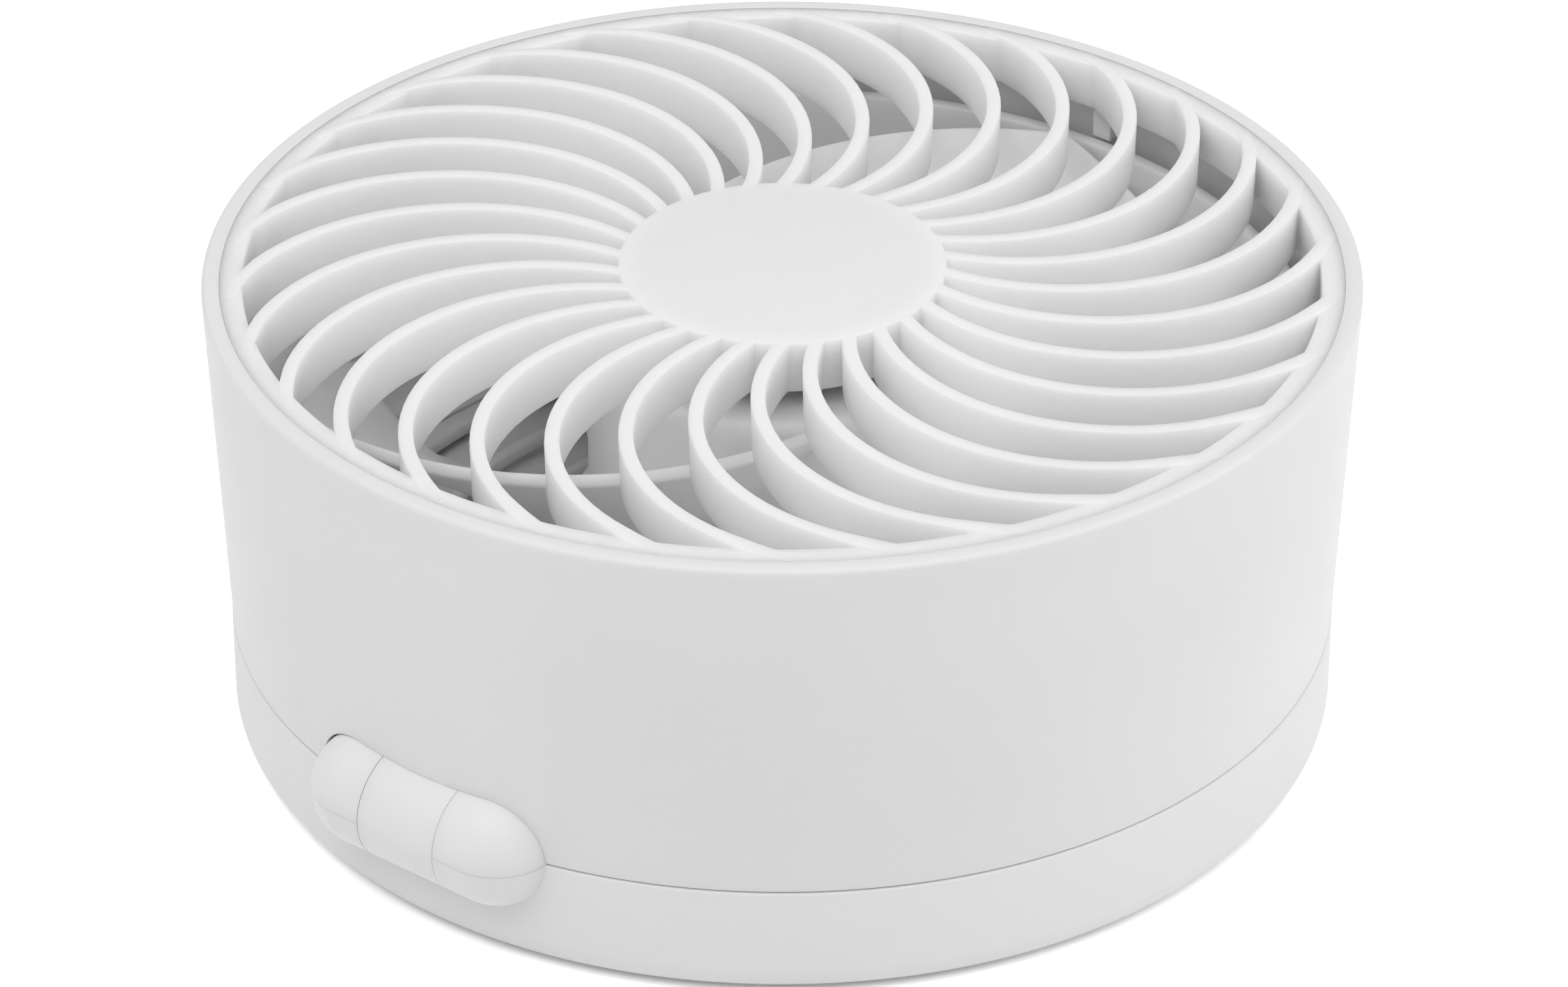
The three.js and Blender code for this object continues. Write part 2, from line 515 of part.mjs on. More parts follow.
// ---------------------------------------------------------------- duct with motor plate
function makeDuct() {
  const foot = DUCT_INNER_RADIUS - DUCT_FOOT_WIDTH;
  const footTop = DUCT_BOTTOM + DUCT_FOOT_THICKNESS;
  const wall = turned([
    [foot, DUCT_BOTTOM], [DUCT_OUTER_RADIUS, DUCT_BOTTOM], [DUCT_OUTER_RADIUS, DUCT_TOP],
    [DUCT_INNER_RADIUS, DUCT_TOP], [DUCT_INNER_RADIUS, footTop], [foot, footTop],
  ]);
  const cupInner = MOTOR_CUP_RADIUS - MOTOR_CUP_WALL;
  const cup = turned([
    [0, MOTOR_PLATE_BOTTOM], [cupInner, MOTOR_PLATE_BOTTOM], [cupInner, MOTOR_CUP_BOTTOM],
    [MOTOR_CUP_RADIUS, MOTOR_CUP_BOTTOM], [MOTOR_CUP_RADIUS, MOTOR_PLATE_HEIGHT], [0, MOTOR_PLATE_HEIGHT],
  ], MOTOR_SEGMENTS);
  const strutFrom = MOTOR_CUP_RADIUS - JOIN;
  const strutTo = DUCT_INNER_RADIUS + JOIN;
  const struts = around(STRUT_COUNT, STRUT_ANGLE).map((angle) => {
    const strut = new THREE.BoxGeometry(strutTo - strutFrom, STRUT_WIDTH, STRUT_HEIGHT);
    strut.translate((strutTo + strutFrom) / 2, 0, MOTOR_PLATE_HEIGHT - STRUT_HEIGHT / 2);
    strut.rotateZ(radians(angle));
    return toSolid(strut);
  });
  const ductBosses = around(DUCT_SCREW_COUNT, DUCT_SCREW_ANGLE).map((angle) => {
    const [x, y] = polar(DUCT_BOSS_CIRCLE, angle);
    return postAt(BOSS_RADIUS, DUCT_BOTTOM, DUCT_BOTTOM + DUCT_BOSS_HEIGHT, x, y);
  });
  const guardBosses = around(GUARD_SCREW_COUNT, GUARD_SCREW_ANGLE).map((angle) => {
    const [x, y] = polar(GUARD_SCREW_CIRCLE, angle);
    return postAt(BOSS_RADIUS, GUARD_BOSS_BOTTOM, MOTOR_PLATE_BOTTOM + JOIN, x, y);
  });
  // the duct wraps round the knuckles in a pocket
  const insideDuct = disc(DUCT_OUTER_RADIUS, DUCT_BOTTOM, FAR);
  const pocketWall = hingeCapsule(POCKET_RADIUS + POCKET_WALL).intersect(insideDuct);
  const holes = [
    ...around(DUCT_SCREW_COUNT, DUCT_SCREW_ANGLE).map((angle) => {
      const [x, y] = polar(DUCT_BOSS_CIRCLE, angle);
      const end = DUCT_BOTTOM + DUCT_BOSS_HEIGHT - BLIND_END;
      return postAt(SCREW_HOLE, DUCT_BOTTOM - CUT_PAST, end, x, y);
    }),
    ...around(GUARD_SCREW_COUNT, GUARD_SCREW_ANGLE).map((angle) => {
      const [x, y] = polar(GUARD_SCREW_CIRCLE, angle);
      return postAt(SCREW_HOLE, GUARD_BOSS_BOTTOM - CUT_PAST, MOTOR_PLATE_HEIGHT - BLIND_END, x, y);
    }),
    ...around(MOTOR_SCREW_COUNT, MOTOR_SCREW_ANGLE).map((angle) => {
      const [x, y] = polar(MOTOR_SCREW_CIRCLE, angle);
      return postAt(SCREW_HOLE, MOTOR_PLATE_BOTTOM - CUT_PAST, MOTOR_PLATE_HEIGHT + CUT_PAST, x, y);
    }),
  ];
  const solid = join(wall, cup, ...struts, ...ductBosses, ...guardBosses, pocketWall);
  return cut(solid, hingeCapsule(POCKET_RADIUS), ...holes);
}

function makeGuard() {
  const low = DRUM_BOTTOM + FIT_GAP;
  const rim = tube(GUARD_RADIUS - GUARD_RIM_WIDTH, GUARD_RADIUS, low, GUARD_TOP);
  const hub = disc(GUARD_HUB_RADIUS, low, GUARD_TOP, MOTOR_SEGMENTS);
  const span = GUARD_RADIUS - GUARD_RIM_WIDTH - GUARD_HUB_RADIUS;
  const pitch = (span + GUARD_RING_WIDTH) / (GUARD_RING_COUNT + 1);
  const rings = Array.from({ length: GUARD_RING_COUNT }, (_, i) => {
    const outer = GUARD_HUB_RADIUS + pitch * (i + 1);
    return tube(outer - GUARD_RING_WIDTH, outer, low, GUARD_TOP, MOTOR_SEGMENTS);
  });
  const spokeFrom = GUARD_HUB_RADIUS - JOIN;
  const spokeTo = GUARD_RADIUS - GUARD_RIM_WIDTH + JOIN;
  const spokes = around(GUARD_SPOKE_COUNT, GUARD_SPOKE_ANGLE).map((angle) => {
    const spoke = new THREE.BoxGeometry(spokeTo - spokeFrom, GUARD_SPOKE_WIDTH, GUARD_THICKNESS);
    spoke.translate((spokeTo + spokeFrom) / 2, 0, low + GUARD_THICKNESS / 2);
    spoke.rotateZ(radians(angle));
    return toSolid(spoke);
  });
  const holes = around(GUARD_SCREW_COUNT, GUARD_SCREW_ANGLE).flatMap((angle) => {
    const [x, y] = polar(GUARD_SCREW_CIRCLE, angle);
    return [
      postAt(SCREW_HOLE, low - CUT_PAST, GUARD_TOP + CUT_PAST, x, y),
      postAt(HEAD_HOLE, low - CUT_PAST, DRUM_BOTTOM + SCREW_HEAD_HEIGHT + FIT_GAP, x, y),
    ];
  });
  return cut(join(rim, hub, ...rings, ...spokes), ...holes);
}

// ---------------------------------------------------------------- motor
function makeMotorBase() {
  const plate = turned([
    [BEARING_BORE, MOTOR_BASE_BOTTOM], [BASE_PLATE_RADIUS, MOTOR_BASE_BOTTOM],
    [BASE_PLATE_RADIUS, MOTOR_BASE_TOP], [TUBE_RADIUS, MOTOR_BASE_TOP],
    [TUBE_RADIUS, BEARING_TUBE_TOP], [BEARING_BORE, BEARING_TUBE_TOP],
  ], SMALL_SEGMENTS);
  const holes = around(MOTOR_SCREW_COUNT, MOTOR_SCREW_ANGLE).map((angle) => {
    const [x, y] = polar(MOTOR_SCREW_CIRCLE, angle);
    return postAt(SCREW_HOLE, MOTOR_BASE_BOTTOM - CUT_PAST, MOTOR_BASE_TOP + CUT_PAST, x, y);
  });
  return cut(plate, ...holes);
}

function makeStator() {
  const core = tube(TUBE_RADIUS + FIT_GAP, STATOR_RADIUS, STATOR_BOTTOM, STATOR_TOP, MOTOR_SEGMENTS);
  const slots = around(STATOR_SLOTS, 0).map((angle) => {
    const slot = new THREE.BoxGeometry(STATOR_SLOT_DEPTH, STATOR_SLOT_WIDTH, FAR);
    slot.translate(STATOR_RADIUS - STATOR_SLOT_DEPTH / 2 + JOIN, 0, 0);
    slot.rotateZ(radians(angle));
    return toSolid(slot);
  });
  return cut(core, ...slots);
}

function makeRotorCan() {
  return turned([
    [SHAFT_BORE, CAN_INSIDE_TOP], [CAN_RADIUS - CAN_WALL, CAN_INSIDE_TOP],
    [CAN_RADIUS - CAN_WALL, CAN_BOTTOM], [CAN_RADIUS, CAN_BOTTOM],
    [CAN_RADIUS, CAN_TOP], [SHAFT_BORE, CAN_TOP],
  ], MOTOR_SEGMENTS);
}

function makeShaft() {
  const groove = SHAFT_RADIUS - CLIP_GROOVE_DEPTH;
  const grooveLow = CLIP_HEIGHT - FIT_GAP;
  const grooveHigh = CLIP_HEIGHT + CLIP_THICKNESS + FIT_GAP;
  return turned([
    [0, SHAFT_LOW_END], [SHAFT_RADIUS, SHAFT_LOW_END], [SHAFT_RADIUS, grooveLow],
    [groove, grooveLow], [groove, grooveHigh], [SHAFT_RADIUS, grooveHigh],
    [SHAFT_RADIUS, CAN_TOP], [0, CAN_TOP],
  ], SMALL_SEGMENTS);
}

// ---------------------------------------------------------------- impeller
// one blade: a box of faces whose corners are carried onto the swept, pitched blade
function makeBlade(turn) {
  const box = new THREE.BoxGeometry(1, 1, 1, BLADE_SPAN_STEPS, BLADE_CHORD_STEPS, 1);
  const position = box.getAttribute("position");
  const place = (radius, chord) => {
    const trail = arcAzimuth(radius, TRAIL_ARC_RADIUS, TRAIL_ARC_CENTRE, TRAIL_ARC_AZIMUTH);
    const lead = arcAzimuth(radius, LEAD_ARC_RADIUS, LEAD_ARC_CENTRE, LEAD_ARC_AZIMUTH);
    const azimuth = radians(trail + (lead - trail) * chord + turn);
    const height = BLADE_TOP - BLADE_HEIGHT * chord;
    return new THREE.Vector3(radius * Math.cos(azimuth), radius * Math.sin(azimuth), height);
  };
  // small steps along the span and the chord give the blade's normal
  const spanStep = 0.01;
  const chordStep = 0.001;
  for (let i = 0; i < position.count; i += 1) {
    const radius = BLADE_ROOT_RADIUS + (position.getX(i) + 0.5) * (BLADE_TIP_RADIUS - BLADE_ROOT_RADIUS);
    const chord = position.getY(i) + 0.5;
    const side = position.getZ(i) * BLADE_THICKNESS;
    const here = place(radius, chord);
    const along = place(radius + spanStep, chord).sub(here);
    const across = place(radius, chord + chordStep).sub(here);
    const normal = along.cross(across).normalize();
    here.addScaledVector(normal, side);
    position.setXYZ(i, here.x, here.y, here.z);
  }
  return toSolid(box);
}

function makeImpeller() {
  const inner = HUB_RADIUS - HUB_WALL;
  const under = HUB_TOP - HUB_TOP_THICKNESS;
  const easing = HUB_EDGE * (1 - Math.SQRT1_2);
  const hub = turned([
    [0, under], [inner, under], [inner, BLADE_BOTTOM], [HUB_RADIUS, BLADE_BOTTOM],
    [HUB_RADIUS, HUB_TOP - HUB_EDGE], [HUB_RADIUS - easing, HUB_TOP - easing],
    [HUB_RADIUS - HUB_EDGE, HUB_TOP], [0, HUB_TOP],
  ], MOTOR_SEGMENTS);
  return join(hub, ...around(BLADE_COUNT, 0).map(makeBlade));
}

// ---------------------------------------------------------------- base
// room in the base for the middle knuckle, the pin and the two washers
function hingeRooms() {
  const washerFace = END_FACE + HINGE_WASHER_THICKNESS + FIT_GAP;
  return [
    hingeCylinder(POCKET_RADIUS, -END_FACE, END_FACE, KNUCKLE_SEGMENTS),
    hingeCylinder(PIN_BORE, -PIN_HALF - FIT_GAP, PIN_HALF + FIT_GAP),
    hingeCylinder(WASHER_RADIUS + FIT_GAP, -washerFace, washerFace),
  ];
}

function makeBaseShell() {
  const edgePoints = Array.from({ length: BASE_EDGE_STEPS + 1 }, (_, i) => {
    const turn = (Math.PI / 2) * (i / BASE_EDGE_STEPS);
    return [
      BASE_RADIUS - BASE_EDGE_WIDTH * (1 - Math.sin(turn)),
      PAD_PROUD + BASE_EDGE_HEIGHT * (1 - Math.cos(turn)),
    ];
  });
  const ledge = BASE_INNER_RADIUS - LEDGE_WIDTH;
  const tray = turned([
    [0, PAD_SEAT], [PAD_RADIUS + FIT_GAP, PAD_SEAT], [PAD_RADIUS + FIT_GAP, PAD_PROUD],
    ...edgePoints,
    [BASE_RADIUS, SEAM_HEIGHT], [BASE_INNER_RADIUS, SEAM_HEIGHT], [BASE_INNER_RADIUS, LEDGE_TOP],
    [ledge, LEDGE_TOP], [BASE_INNER_RADIUS, LEDGE_TOP - 2 * LEDGE_WIDTH],
    [BASE_INNER_RADIUS, FLOOR_TOP + BASE_INNER_EDGE], [BASE_INNER_RADIUS - BASE_INNER_EDGE, FLOOR_TOP],
    [0, FLOOR_TOP],
  ], SHELL_SEGMENTS);
  const lowerHalf = cut(
    hingeCapsule(KNUCKLE_RADIUS),
    block(FAR, FAR, FAR, 0, 0, SPLIT_HEIGHT + FAR / 2),
    disc(DECK_RADIUS + FIT_GAP, LEDGE_TOP, FAR, SHELL_SEGMENTS),
  );
  const standoffs = [-1, 1].flatMap((sx) => [-1, 1].map((sy) => {
    const x = sx * (BOARD.width / 2 - STANDOFF.inset);
    const y = BOARD_Y + sy * (BOARD.depth / 2 - STANDOFF.inset);
    return postAt(STANDOFF.radius, FLOOR_TOP - JOIN, FLOOR_TOP + STANDOFF.height, x, y);
  }));
  const seatTop = FLOOR_TOP + SCREW_SEAT_HEIGHT;
  const screwSeats = around(CASE_SCREW_COUNT, CASE_SCREW_ANGLE).map((angle) => {
    const [x, y] = polar(CASE_SCREW_CIRCLE, angle);
    return postAt(SCREW_HEAD_RADIUS + SCREW_SEAT_WALL, FLOOR_TOP - JOIN, seatTop, x, y);
  });
  const screwHoles = around(CASE_SCREW_COUNT, CASE_SCREW_ANGLE).flatMap((angle) => {
    const [x, y] = polar(CASE_SCREW_CIRCLE, angle);
    return [
      postAt(SCREW_HOLE, 0, seatTop + CUT_PAST, x, y),
      postAt(HEAD_HOLE, 0, PAD_SEAT + SCREW_HEAD_HEIGHT + FIT_GAP, x, y),
    ];
  });
  const wallY = BASE_RADIUS - BASE_WALL / 2;
  const flangeRoom = 2 * (BUTTON.flange + FIT_GAP);
  const buttonHole = new THREE.CylinderGeometry(
    BUTTON.radius + FIT_GAP, BUTTON.radius + FIT_GAP, WALL_CUT_DEPTH, SMALL_SEGMENTS);
  buttonHole.translate(0, wallY, BUTTON_HEIGHT);
  const lightHole = new THREE.CylinderGeometry(
    LIGHT.radius + FIT_GAP, LIGHT.radius + FIT_GAP, WALL_CUT_DEPTH, SCREW_SEGMENTS);
  lightHole.translate(LIGHT.x, wallY, BUTTON_HEIGHT);
  return cut(
    join(tray, lowerHalf, ...standoffs, ...screwSeats),
    ...hingeRooms(),
    block(SOCKET_SLOT.width, WALL_CUT_DEPTH, SOCKET_SLOT.height, SOCKET.x, wallY, SOCKET_Z),
    block(flangeRoom, FLANGE_ROOM_DEPTH, flangeRoom,
      0, FLANGE_SEAT_Y - FLANGE_ROOM_DEPTH / 2, BUTTON_HEIGHT),
    toSolid(buttonHole), toSolid(lightHole), ...screwHoles,
  );
}

function makeDeck() {
  const plate = disc(DECK_RADIUS, DECK_BOTTOM, DECK_TOP, SHELL_SEGMENTS);
  const upperHalf = cut(
    hingeCapsule(KNUCKLE_RADIUS),
    block(FAR, FAR, FAR, 0, 0, DECK_BOTTOM + JOIN - FAR / 2),
    block(FAR, FAR, FAR, 0, 0, SPLIT_HEIGHT + FIT_GAP - FAR / 2).subtract(
      disc(DECK_RADIUS, 0, FAR, SHELL_SEGMENTS)),
  );
  const bosses = around(CASE_SCREW_COUNT, CASE_SCREW_ANGLE).map((angle) => {
    const [x, y] = polar(CASE_SCREW_CIRCLE, angle);
    const bossLow = FLOOR_TOP + SCREW_SEAT_HEIGHT + FIT_GAP;
    return postAt(BOSS_RADIUS, bossLow, DECK_BOTTOM + JOIN, x, y);
  });
  const holes = around(CASE_SCREW_COUNT, CASE_SCREW_ANGLE).map((angle) => {
    const [x, y] = polar(CASE_SCREW_CIRCLE, angle);
    return postAt(SCREW_HOLE, 0, DECK_BOTTOM, x, y);
  });
  return cut(
    join(plate, upperHalf, ...bosses),
    ...hingeRooms(),
    ...holes,
  );
}

function makeSocket() {
  const front = Math.sqrt(BASE_RADIUS ** 2 - SOCKET.x ** 2) - SOCKET.recess;
  const middle = front - SOCKET.depth / 2;
  const shell = block(SOCKET.width, SOCKET.depth, SOCKET.height, SOCKET.x, middle, SOCKET_Z);
  const mouth = block(SOCKET.width - 2 * SOCKET.wall, SOCKET.depth, SOCKET.height - 2 * SOCKET.wall,
    SOCKET.x, middle + SOCKET.backWall, SOCKET_Z);
  const tongueBack = front - SOCKET.depth + SOCKET.backWall / 2;
  const tongueFront = front - SOCKET_TONGUE.recess;
  const tongue = block(SOCKET_TONGUE.width, tongueFront - tongueBack, SOCKET_TONGUE.thickness,
    SOCKET.x, (tongueFront + tongueBack) / 2, SOCKET_Z);
  return join(cut(shell, mouth), tongue);
}

function makeButton() {
  const front = BASE_RADIUS + BUTTON.proud;
  const flangeFront = FLANGE_SEAT_Y - FIT_GAP;
  const cap = new THREE.CylinderGeometry(
    BUTTON.radius, BUTTON.radius, front - flangeFront + JOIN, SMALL_SEGMENTS);
  cap.translate(0, (front + flangeFront - JOIN) / 2, BUTTON_HEIGHT);
  const flange = new THREE.CylinderGeometry(
    BUTTON.flange, BUTTON.flange, BUTTON.flangeThickness, SMALL_SEGMENTS);
  flange.translate(0, flangeFront - BUTTON.flangeThickness / 2, BUTTON_HEIGHT);
  return join(toSolid(cap), toSolid(flange));
}

function makeLightGuide() {
  const front = Math.sqrt(BASE_RADIUS ** 2 - LIGHT.x ** 2);
  const back = BOARD_Y + BOARD.depth / 2 + LIGHT.gapToBoard;
  const rod = new THREE.CylinderGeometry(LIGHT.radius, LIGHT.radius, front - back, SCREW_SEGMENTS);
  rod.translate(LIGHT.x, (front + back) / 2, BUTTON_HEIGHT);
  return toSolid(rod);
}

// ---------------------------------------------------------------- assembly: head
addPart(head, "drum_shell", makeDrum(), "whitePlastic");
addPart(head, "front_grille", makeGrille(), "whitePlastic");
addPart(head, "duct_frame", makeDuct(), "whitePlastic");
addPart(head, "rear_guard", makeGuard(), "whitePlastic");
around(DUCT_SCREW_COUNT, DUCT_SCREW_ANGLE).forEach((angle, i) => {
  const [x, y] = polar(DUCT_BOSS_CIRCLE, angle);
  addPart(head, `duct_screw_${i + 1}`, screw(DUCT_SCREW_LENGTH, x, y, DRUM_BOTTOM), "zincScrew");
});
around(GUARD_SCREW_COUNT, GUARD_SCREW_ANGLE).forEach((angle, i) => {
  const [x, y] = polar(GUARD_SCREW_CIRCLE, angle);
  addPart(head, `guard_screw_${i + 1}`, screw(GUARD_SCREW_LENGTH, x, y, DRUM_BOTTOM), "zincScrew");
});
addPart(head, "motor_base", makeMotorBase(), "steel");
around(MOTOR_SCREW_COUNT, MOTOR_SCREW_ANGLE).forEach((angle, i) => {
  const [x, y] = polar(MOTOR_SCREW_CIRCLE, angle);
  const headLow = MOTOR_PLATE_BOTTOM - FIT_GAP - SCREW_HEAD_HEIGHT;
  addPart(head, `motor_screw_${i + 1}`, screw(MOTOR_SCREW_LENGTH, x, y, headLow), "zincScrew");
});
addPart(head, "stator_core", makeStator(), "laminate");
addPart(head, "winding_upper",
  tube(WINDING_INNER_RADIUS, WINDING_RADIUS, STATOR_TOP + FIT_GAP,
    STATOR_TOP + FIT_GAP + WINDING_HEIGHT, MOTOR_SEGMENTS), "copper");
addPart(head, "winding_lower",
  tube(WINDING_INNER_RADIUS, WINDING_RADIUS, STATOR_BOTTOM - FIT_GAP - WINDING_HEIGHT,
    STATOR_BOTTOM - FIT_GAP, MOTOR_SEGMENTS), "copper");
addPart(head, "motor_board",
  tube(TUBE_RADIUS + FIT_GAP, MOTOR_BOARD_RADIUS, MOTOR_BOARD_BOTTOM, MOTOR_BOARD_TOP,
    MOTOR_SEGMENTS), "board");
const upperBearingLow = BEARING_TUBE_TOP - BEARING_WIDTH;
addPart(head, "bearing_upper",
  tube(SHAFT_BORE, BEARING_OUTER_RADIUS, upperBearingLow, BEARING_TUBE_TOP, SMALL_SEGMENTS), "steel");
addPart(head, "preload_washer",
  tube(SHAFT_BORE, BEARING_OUTER_RADIUS - WASHER_INSET, upperBearingLow - FIT_GAP - WASHER_THICKNESS,
    upperBearingLow - FIT_GAP, SMALL_SEGMENTS), "steel");
const lowerBearingLow = CLIP_HEIGHT + CLIP_THICKNESS + FIT_GAP;
addPart(head, "bearing_lower",
  tube(SHAFT_BORE, BEARING_OUTER_RADIUS, lowerBearingLow, lowerBearingLow + BEARING_WIDTH,
    SMALL_SEGMENTS), "steel");

// ---------------------------------------------------------------- assembly: rotor
addPart(rotor, "impeller", makeImpeller(), "whiteBlade");
addPart(rotor, "rotor_can", makeRotorCan(), "steel");
addPart(rotor, "magnet_ring",
  tube(MAGNET_INNER_RADIUS, MAGNET_RADIUS, CAN_BOTTOM + MAGNET_RECESS,
    CAN_INSIDE_TOP - MAGNET_DROP, MOTOR_SEGMENTS), "magnet");
addPart(rotor, "rotor_bush",
  tube(SHAFT_BORE, BUSH_RADIUS, BUSH_BOTTOM, BUSH_BOTTOM + BUSH_HEIGHT, SMALL_SEGMENTS), "brass");
addPart(rotor, "motor_shaft", makeShaft(), "steel");
addPart(rotor, "shaft_clip",
  tube(SHAFT_RADIUS - CLIP_GROOVE_DEPTH + FIT_GAP, CLIP_RADIUS, CLIP_HEIGHT,
    CLIP_HEIGHT + CLIP_THICKNESS, SMALL_SEGMENTS), "steel");

// ---------------------------------------------------------------- assembly: hinge
addPart(head, "hinge_sleeve",
  cut(hingeCylinder(SLEEVE_RADIUS, -MIDDLE_FACE, MIDDLE_FACE),
    hingeCylinder(PIN_BORE, -FAR, FAR)), "blackPlastic");
addPart(base, "hinge_pin", hingeCylinder(PIN_RADIUS, -PIN_HALF, PIN_HALF), "steel");
[["left", -1], ["right", 1]].forEach(([side, sign]) => {
  const near = sign * END_FACE;
  const far = sign * (END_FACE + HINGE_WASHER_THICKNESS);
  addPart(base, `hinge_washer_${side}`,
    cut(hingeCylinder(WASHER_RADIUS, Math.min(near, far), Math.max(near, far)),
      hingeCylinder(PIN_BORE, -FAR, FAR)), "steel");
});

// ---------------------------------------------------------------- assembly: base
addPart(base, "base_shell", makeBaseShell(), "whitePlastic");
addPart(base, "deck_cover", makeDeck(), "whitePlastic");
addPart(base, "anti_slip_pad", disc(PAD_RADIUS, 0, PAD_THICKNESS, SHELL_SEGMENTS), "greyRubber");
around(CASE_SCREW_COUNT, CASE_SCREW_ANGLE).forEach((angle, i) => {
  const [x, y] = polar(CASE_SCREW_CIRCLE, angle);
  addPart(base, `case_screw_${i + 1}`, screw(CASE_SCREW_LENGTH, x, y, PAD_SEAT), "zincScrew");
});
addPart(base, "battery_pack",
  block(BATTERY.width, BATTERY.depth, BATTERY.height, 0, BATTERY.y,
    BATTERY_BOTTOM + BATTERY.height / 2), "battery");
addPart(base, "battery_foam",
  block(FOAM.width, FOAM.depth, FOAM_TOP - FOAM_BOTTOM, 0, BATTERY.y,
    (FOAM_TOP + FOAM_BOTTOM) / 2), "foam");
addPart(base, "control_board",
  block(BOARD.width, BOARD.depth, BOARD.thickness, 0, BOARD_Y, (BOARD_BOTTOM + BOARD_TOP) / 2), "board");
addPart(base, "charge_socket", makeSocket(), "steel");
addPart(base, "power_button", makeButton(), "whitePlastic");
const flangeBack = FLANGE_SEAT_Y - FIT_GAP - BUTTON.flangeThickness;
const switchFront = flangeBack - BUTTON_TRAVEL - FIT_GAP;
addPart(base, "tact_switch",
  block(SWITCH.width, SWITCH.depth, SWITCH.height, 0, switchFront - SWITCH.depth / 2,
    BOARD_TOP + FIT_GAP + SWITCH.height / 2), "blackPlastic");
addPart(base, "light_guide", makeLightGuide(), "clearPlastic");

export default fan;
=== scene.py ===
"""Folding air circulator fan: the looks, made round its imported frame.

Sizes are in millimetres; finish_piece() turns each mesh into metres.
The origin is the centre of the pad's lower face, +Z up, the hinge at -Y with its axis along X.
"""

import json
import math

import bmesh
import bpy
from mathutils import Matrix, Vector


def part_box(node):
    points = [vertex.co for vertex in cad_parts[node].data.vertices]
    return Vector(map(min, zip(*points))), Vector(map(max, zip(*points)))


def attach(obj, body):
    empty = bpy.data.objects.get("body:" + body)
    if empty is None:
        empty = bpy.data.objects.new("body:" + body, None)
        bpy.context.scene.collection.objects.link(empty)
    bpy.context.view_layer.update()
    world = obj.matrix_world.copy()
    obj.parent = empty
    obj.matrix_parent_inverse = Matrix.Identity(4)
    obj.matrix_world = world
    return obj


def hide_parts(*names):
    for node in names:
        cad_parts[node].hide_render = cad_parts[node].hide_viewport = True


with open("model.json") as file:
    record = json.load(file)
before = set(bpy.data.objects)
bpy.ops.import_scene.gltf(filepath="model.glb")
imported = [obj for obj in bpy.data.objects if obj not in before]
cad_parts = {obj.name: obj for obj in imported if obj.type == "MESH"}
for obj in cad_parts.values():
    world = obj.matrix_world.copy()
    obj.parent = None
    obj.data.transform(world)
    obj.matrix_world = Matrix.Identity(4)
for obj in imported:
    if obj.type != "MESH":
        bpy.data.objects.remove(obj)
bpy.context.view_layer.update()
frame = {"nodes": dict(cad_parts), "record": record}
scene = bpy.context.scene

MM = 0.001
FULL_TURN = 2 * math.pi


def low(node, axis):
    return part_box(node)[0][axis] / MM


def high(node, axis):
    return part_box(node)[1][axis] / MM


# ---------------------------------------------------------------- sizes
# heights read from the frame
TOP = high("drum_shell", 2)
DISC_TOP = high("front_grille", 2)
GRILLE_BOTTOM = low("front_grille", 2)
DUCT_TOP = high("duct_frame", 2)
DUCT_BOTTOM = low("duct_frame", 2)
GUARD_BOTTOM = low("rear_guard", 2)
GUARD_TOP = high("rear_guard", 2)
HUB_TOP = high("impeller", 2)
PAD_TOP = high("anti_slip_pad", 2)

# drum
SEAM_HEIGHT = 17.3
SEAM_GAP = 0.17      # the dark line between drum and base
RIM_RADIUS = 80
DRUM_FOOT_RADIUS = 77.7
LIP_WIDTH = 2.5
DRUM_WALL = 2.5
FLANGE_THICKNESS = 2.6
INTAKE_RADIUS = 64.5
RIM_ROUND = 0.7
LIP_ROUND = 0.15
FOOT_ROUND = 0.35
INTAKE_ROUND = 0.3
SEAT_RIB_WIDTH = 3
SEAT_RIB_COUNT = 6
SEAT_RIB_ANGLE = 30
SEAT_RIB_GAP = 0.3
SEAT_RIB_BITE = 0.6

# grille
LIP_GAP = 0.03       # between the drum's lip and the grille's ring
RING_INNER_RADIUS = 74.3
RING_ROUND = 0.3
RING_OUTER_ROUND = 0.12
RING_FOOT_ROUND = 0.2
VANE_COUNT = 30
VANE_TOP_THICKNESS = 2.05
VANE_FOOT_THICKNESS = 1.75
VANE_PROUD = 0.6     # a vane's top over the ring's face
VANE_FADE_FROM = 72.5
VANE_FADE_TO = 76.6
VANE_END_PROUD = 0.08
VANE_ROUND = 0.28
VANE_FOOT_ROUND = 0.2
VANE_ARC_RADIUS = 33.1
VANE_ARC_CENTRE = 47.2   # from the fan's axis
VANE_AZIMUTH = -0.3
DISC_RADIUS = 22.7
DISC_THICKNESS = 2
DISC_SKIRT = 1.8
DISC_ROUND = 0.35
DISC_FOOT_ROUND = 0.25

# duct and motor plate
DUCT_INNER_RADIUS = 72.6
DUCT_WALL = 2.1
DUCT_ROUND = 0.4
DUCT_FOOT_WIDTH = 4
DUCT_FOOT_THICKNESS = 1.8
DUCT_FOOT_FILLET = 2.5
DUCT_FOOT_TOP_ROUND = 0.6
DUCT_FOOT_ROUND = 0.3
POCKET_WALL = 1.5
MOTOR_PLATE_HEIGHT = 30
MOTOR_PLATE_THICKNESS = 2.5
MOTOR_CUP_RADIUS = 30
MOTOR_CUP_WALL = 2
MOTOR_CUP_DEPTH = 8
MOTOR_CUP_ROUND = 0.8
MOTOR_CUP_FILLET = 0.6
MOTOR_CUP_FOOT_ROUND = 0.3
STRUT_COUNT = 5
STRUT_ANGLE = 90
STRUT_WIDTH = 2
STRUT_HEIGHT = 5
STRUT_ROUND = 0.5
STRUT_BITE = 0.8     # how far a strut's ends reach into the cup and the wall

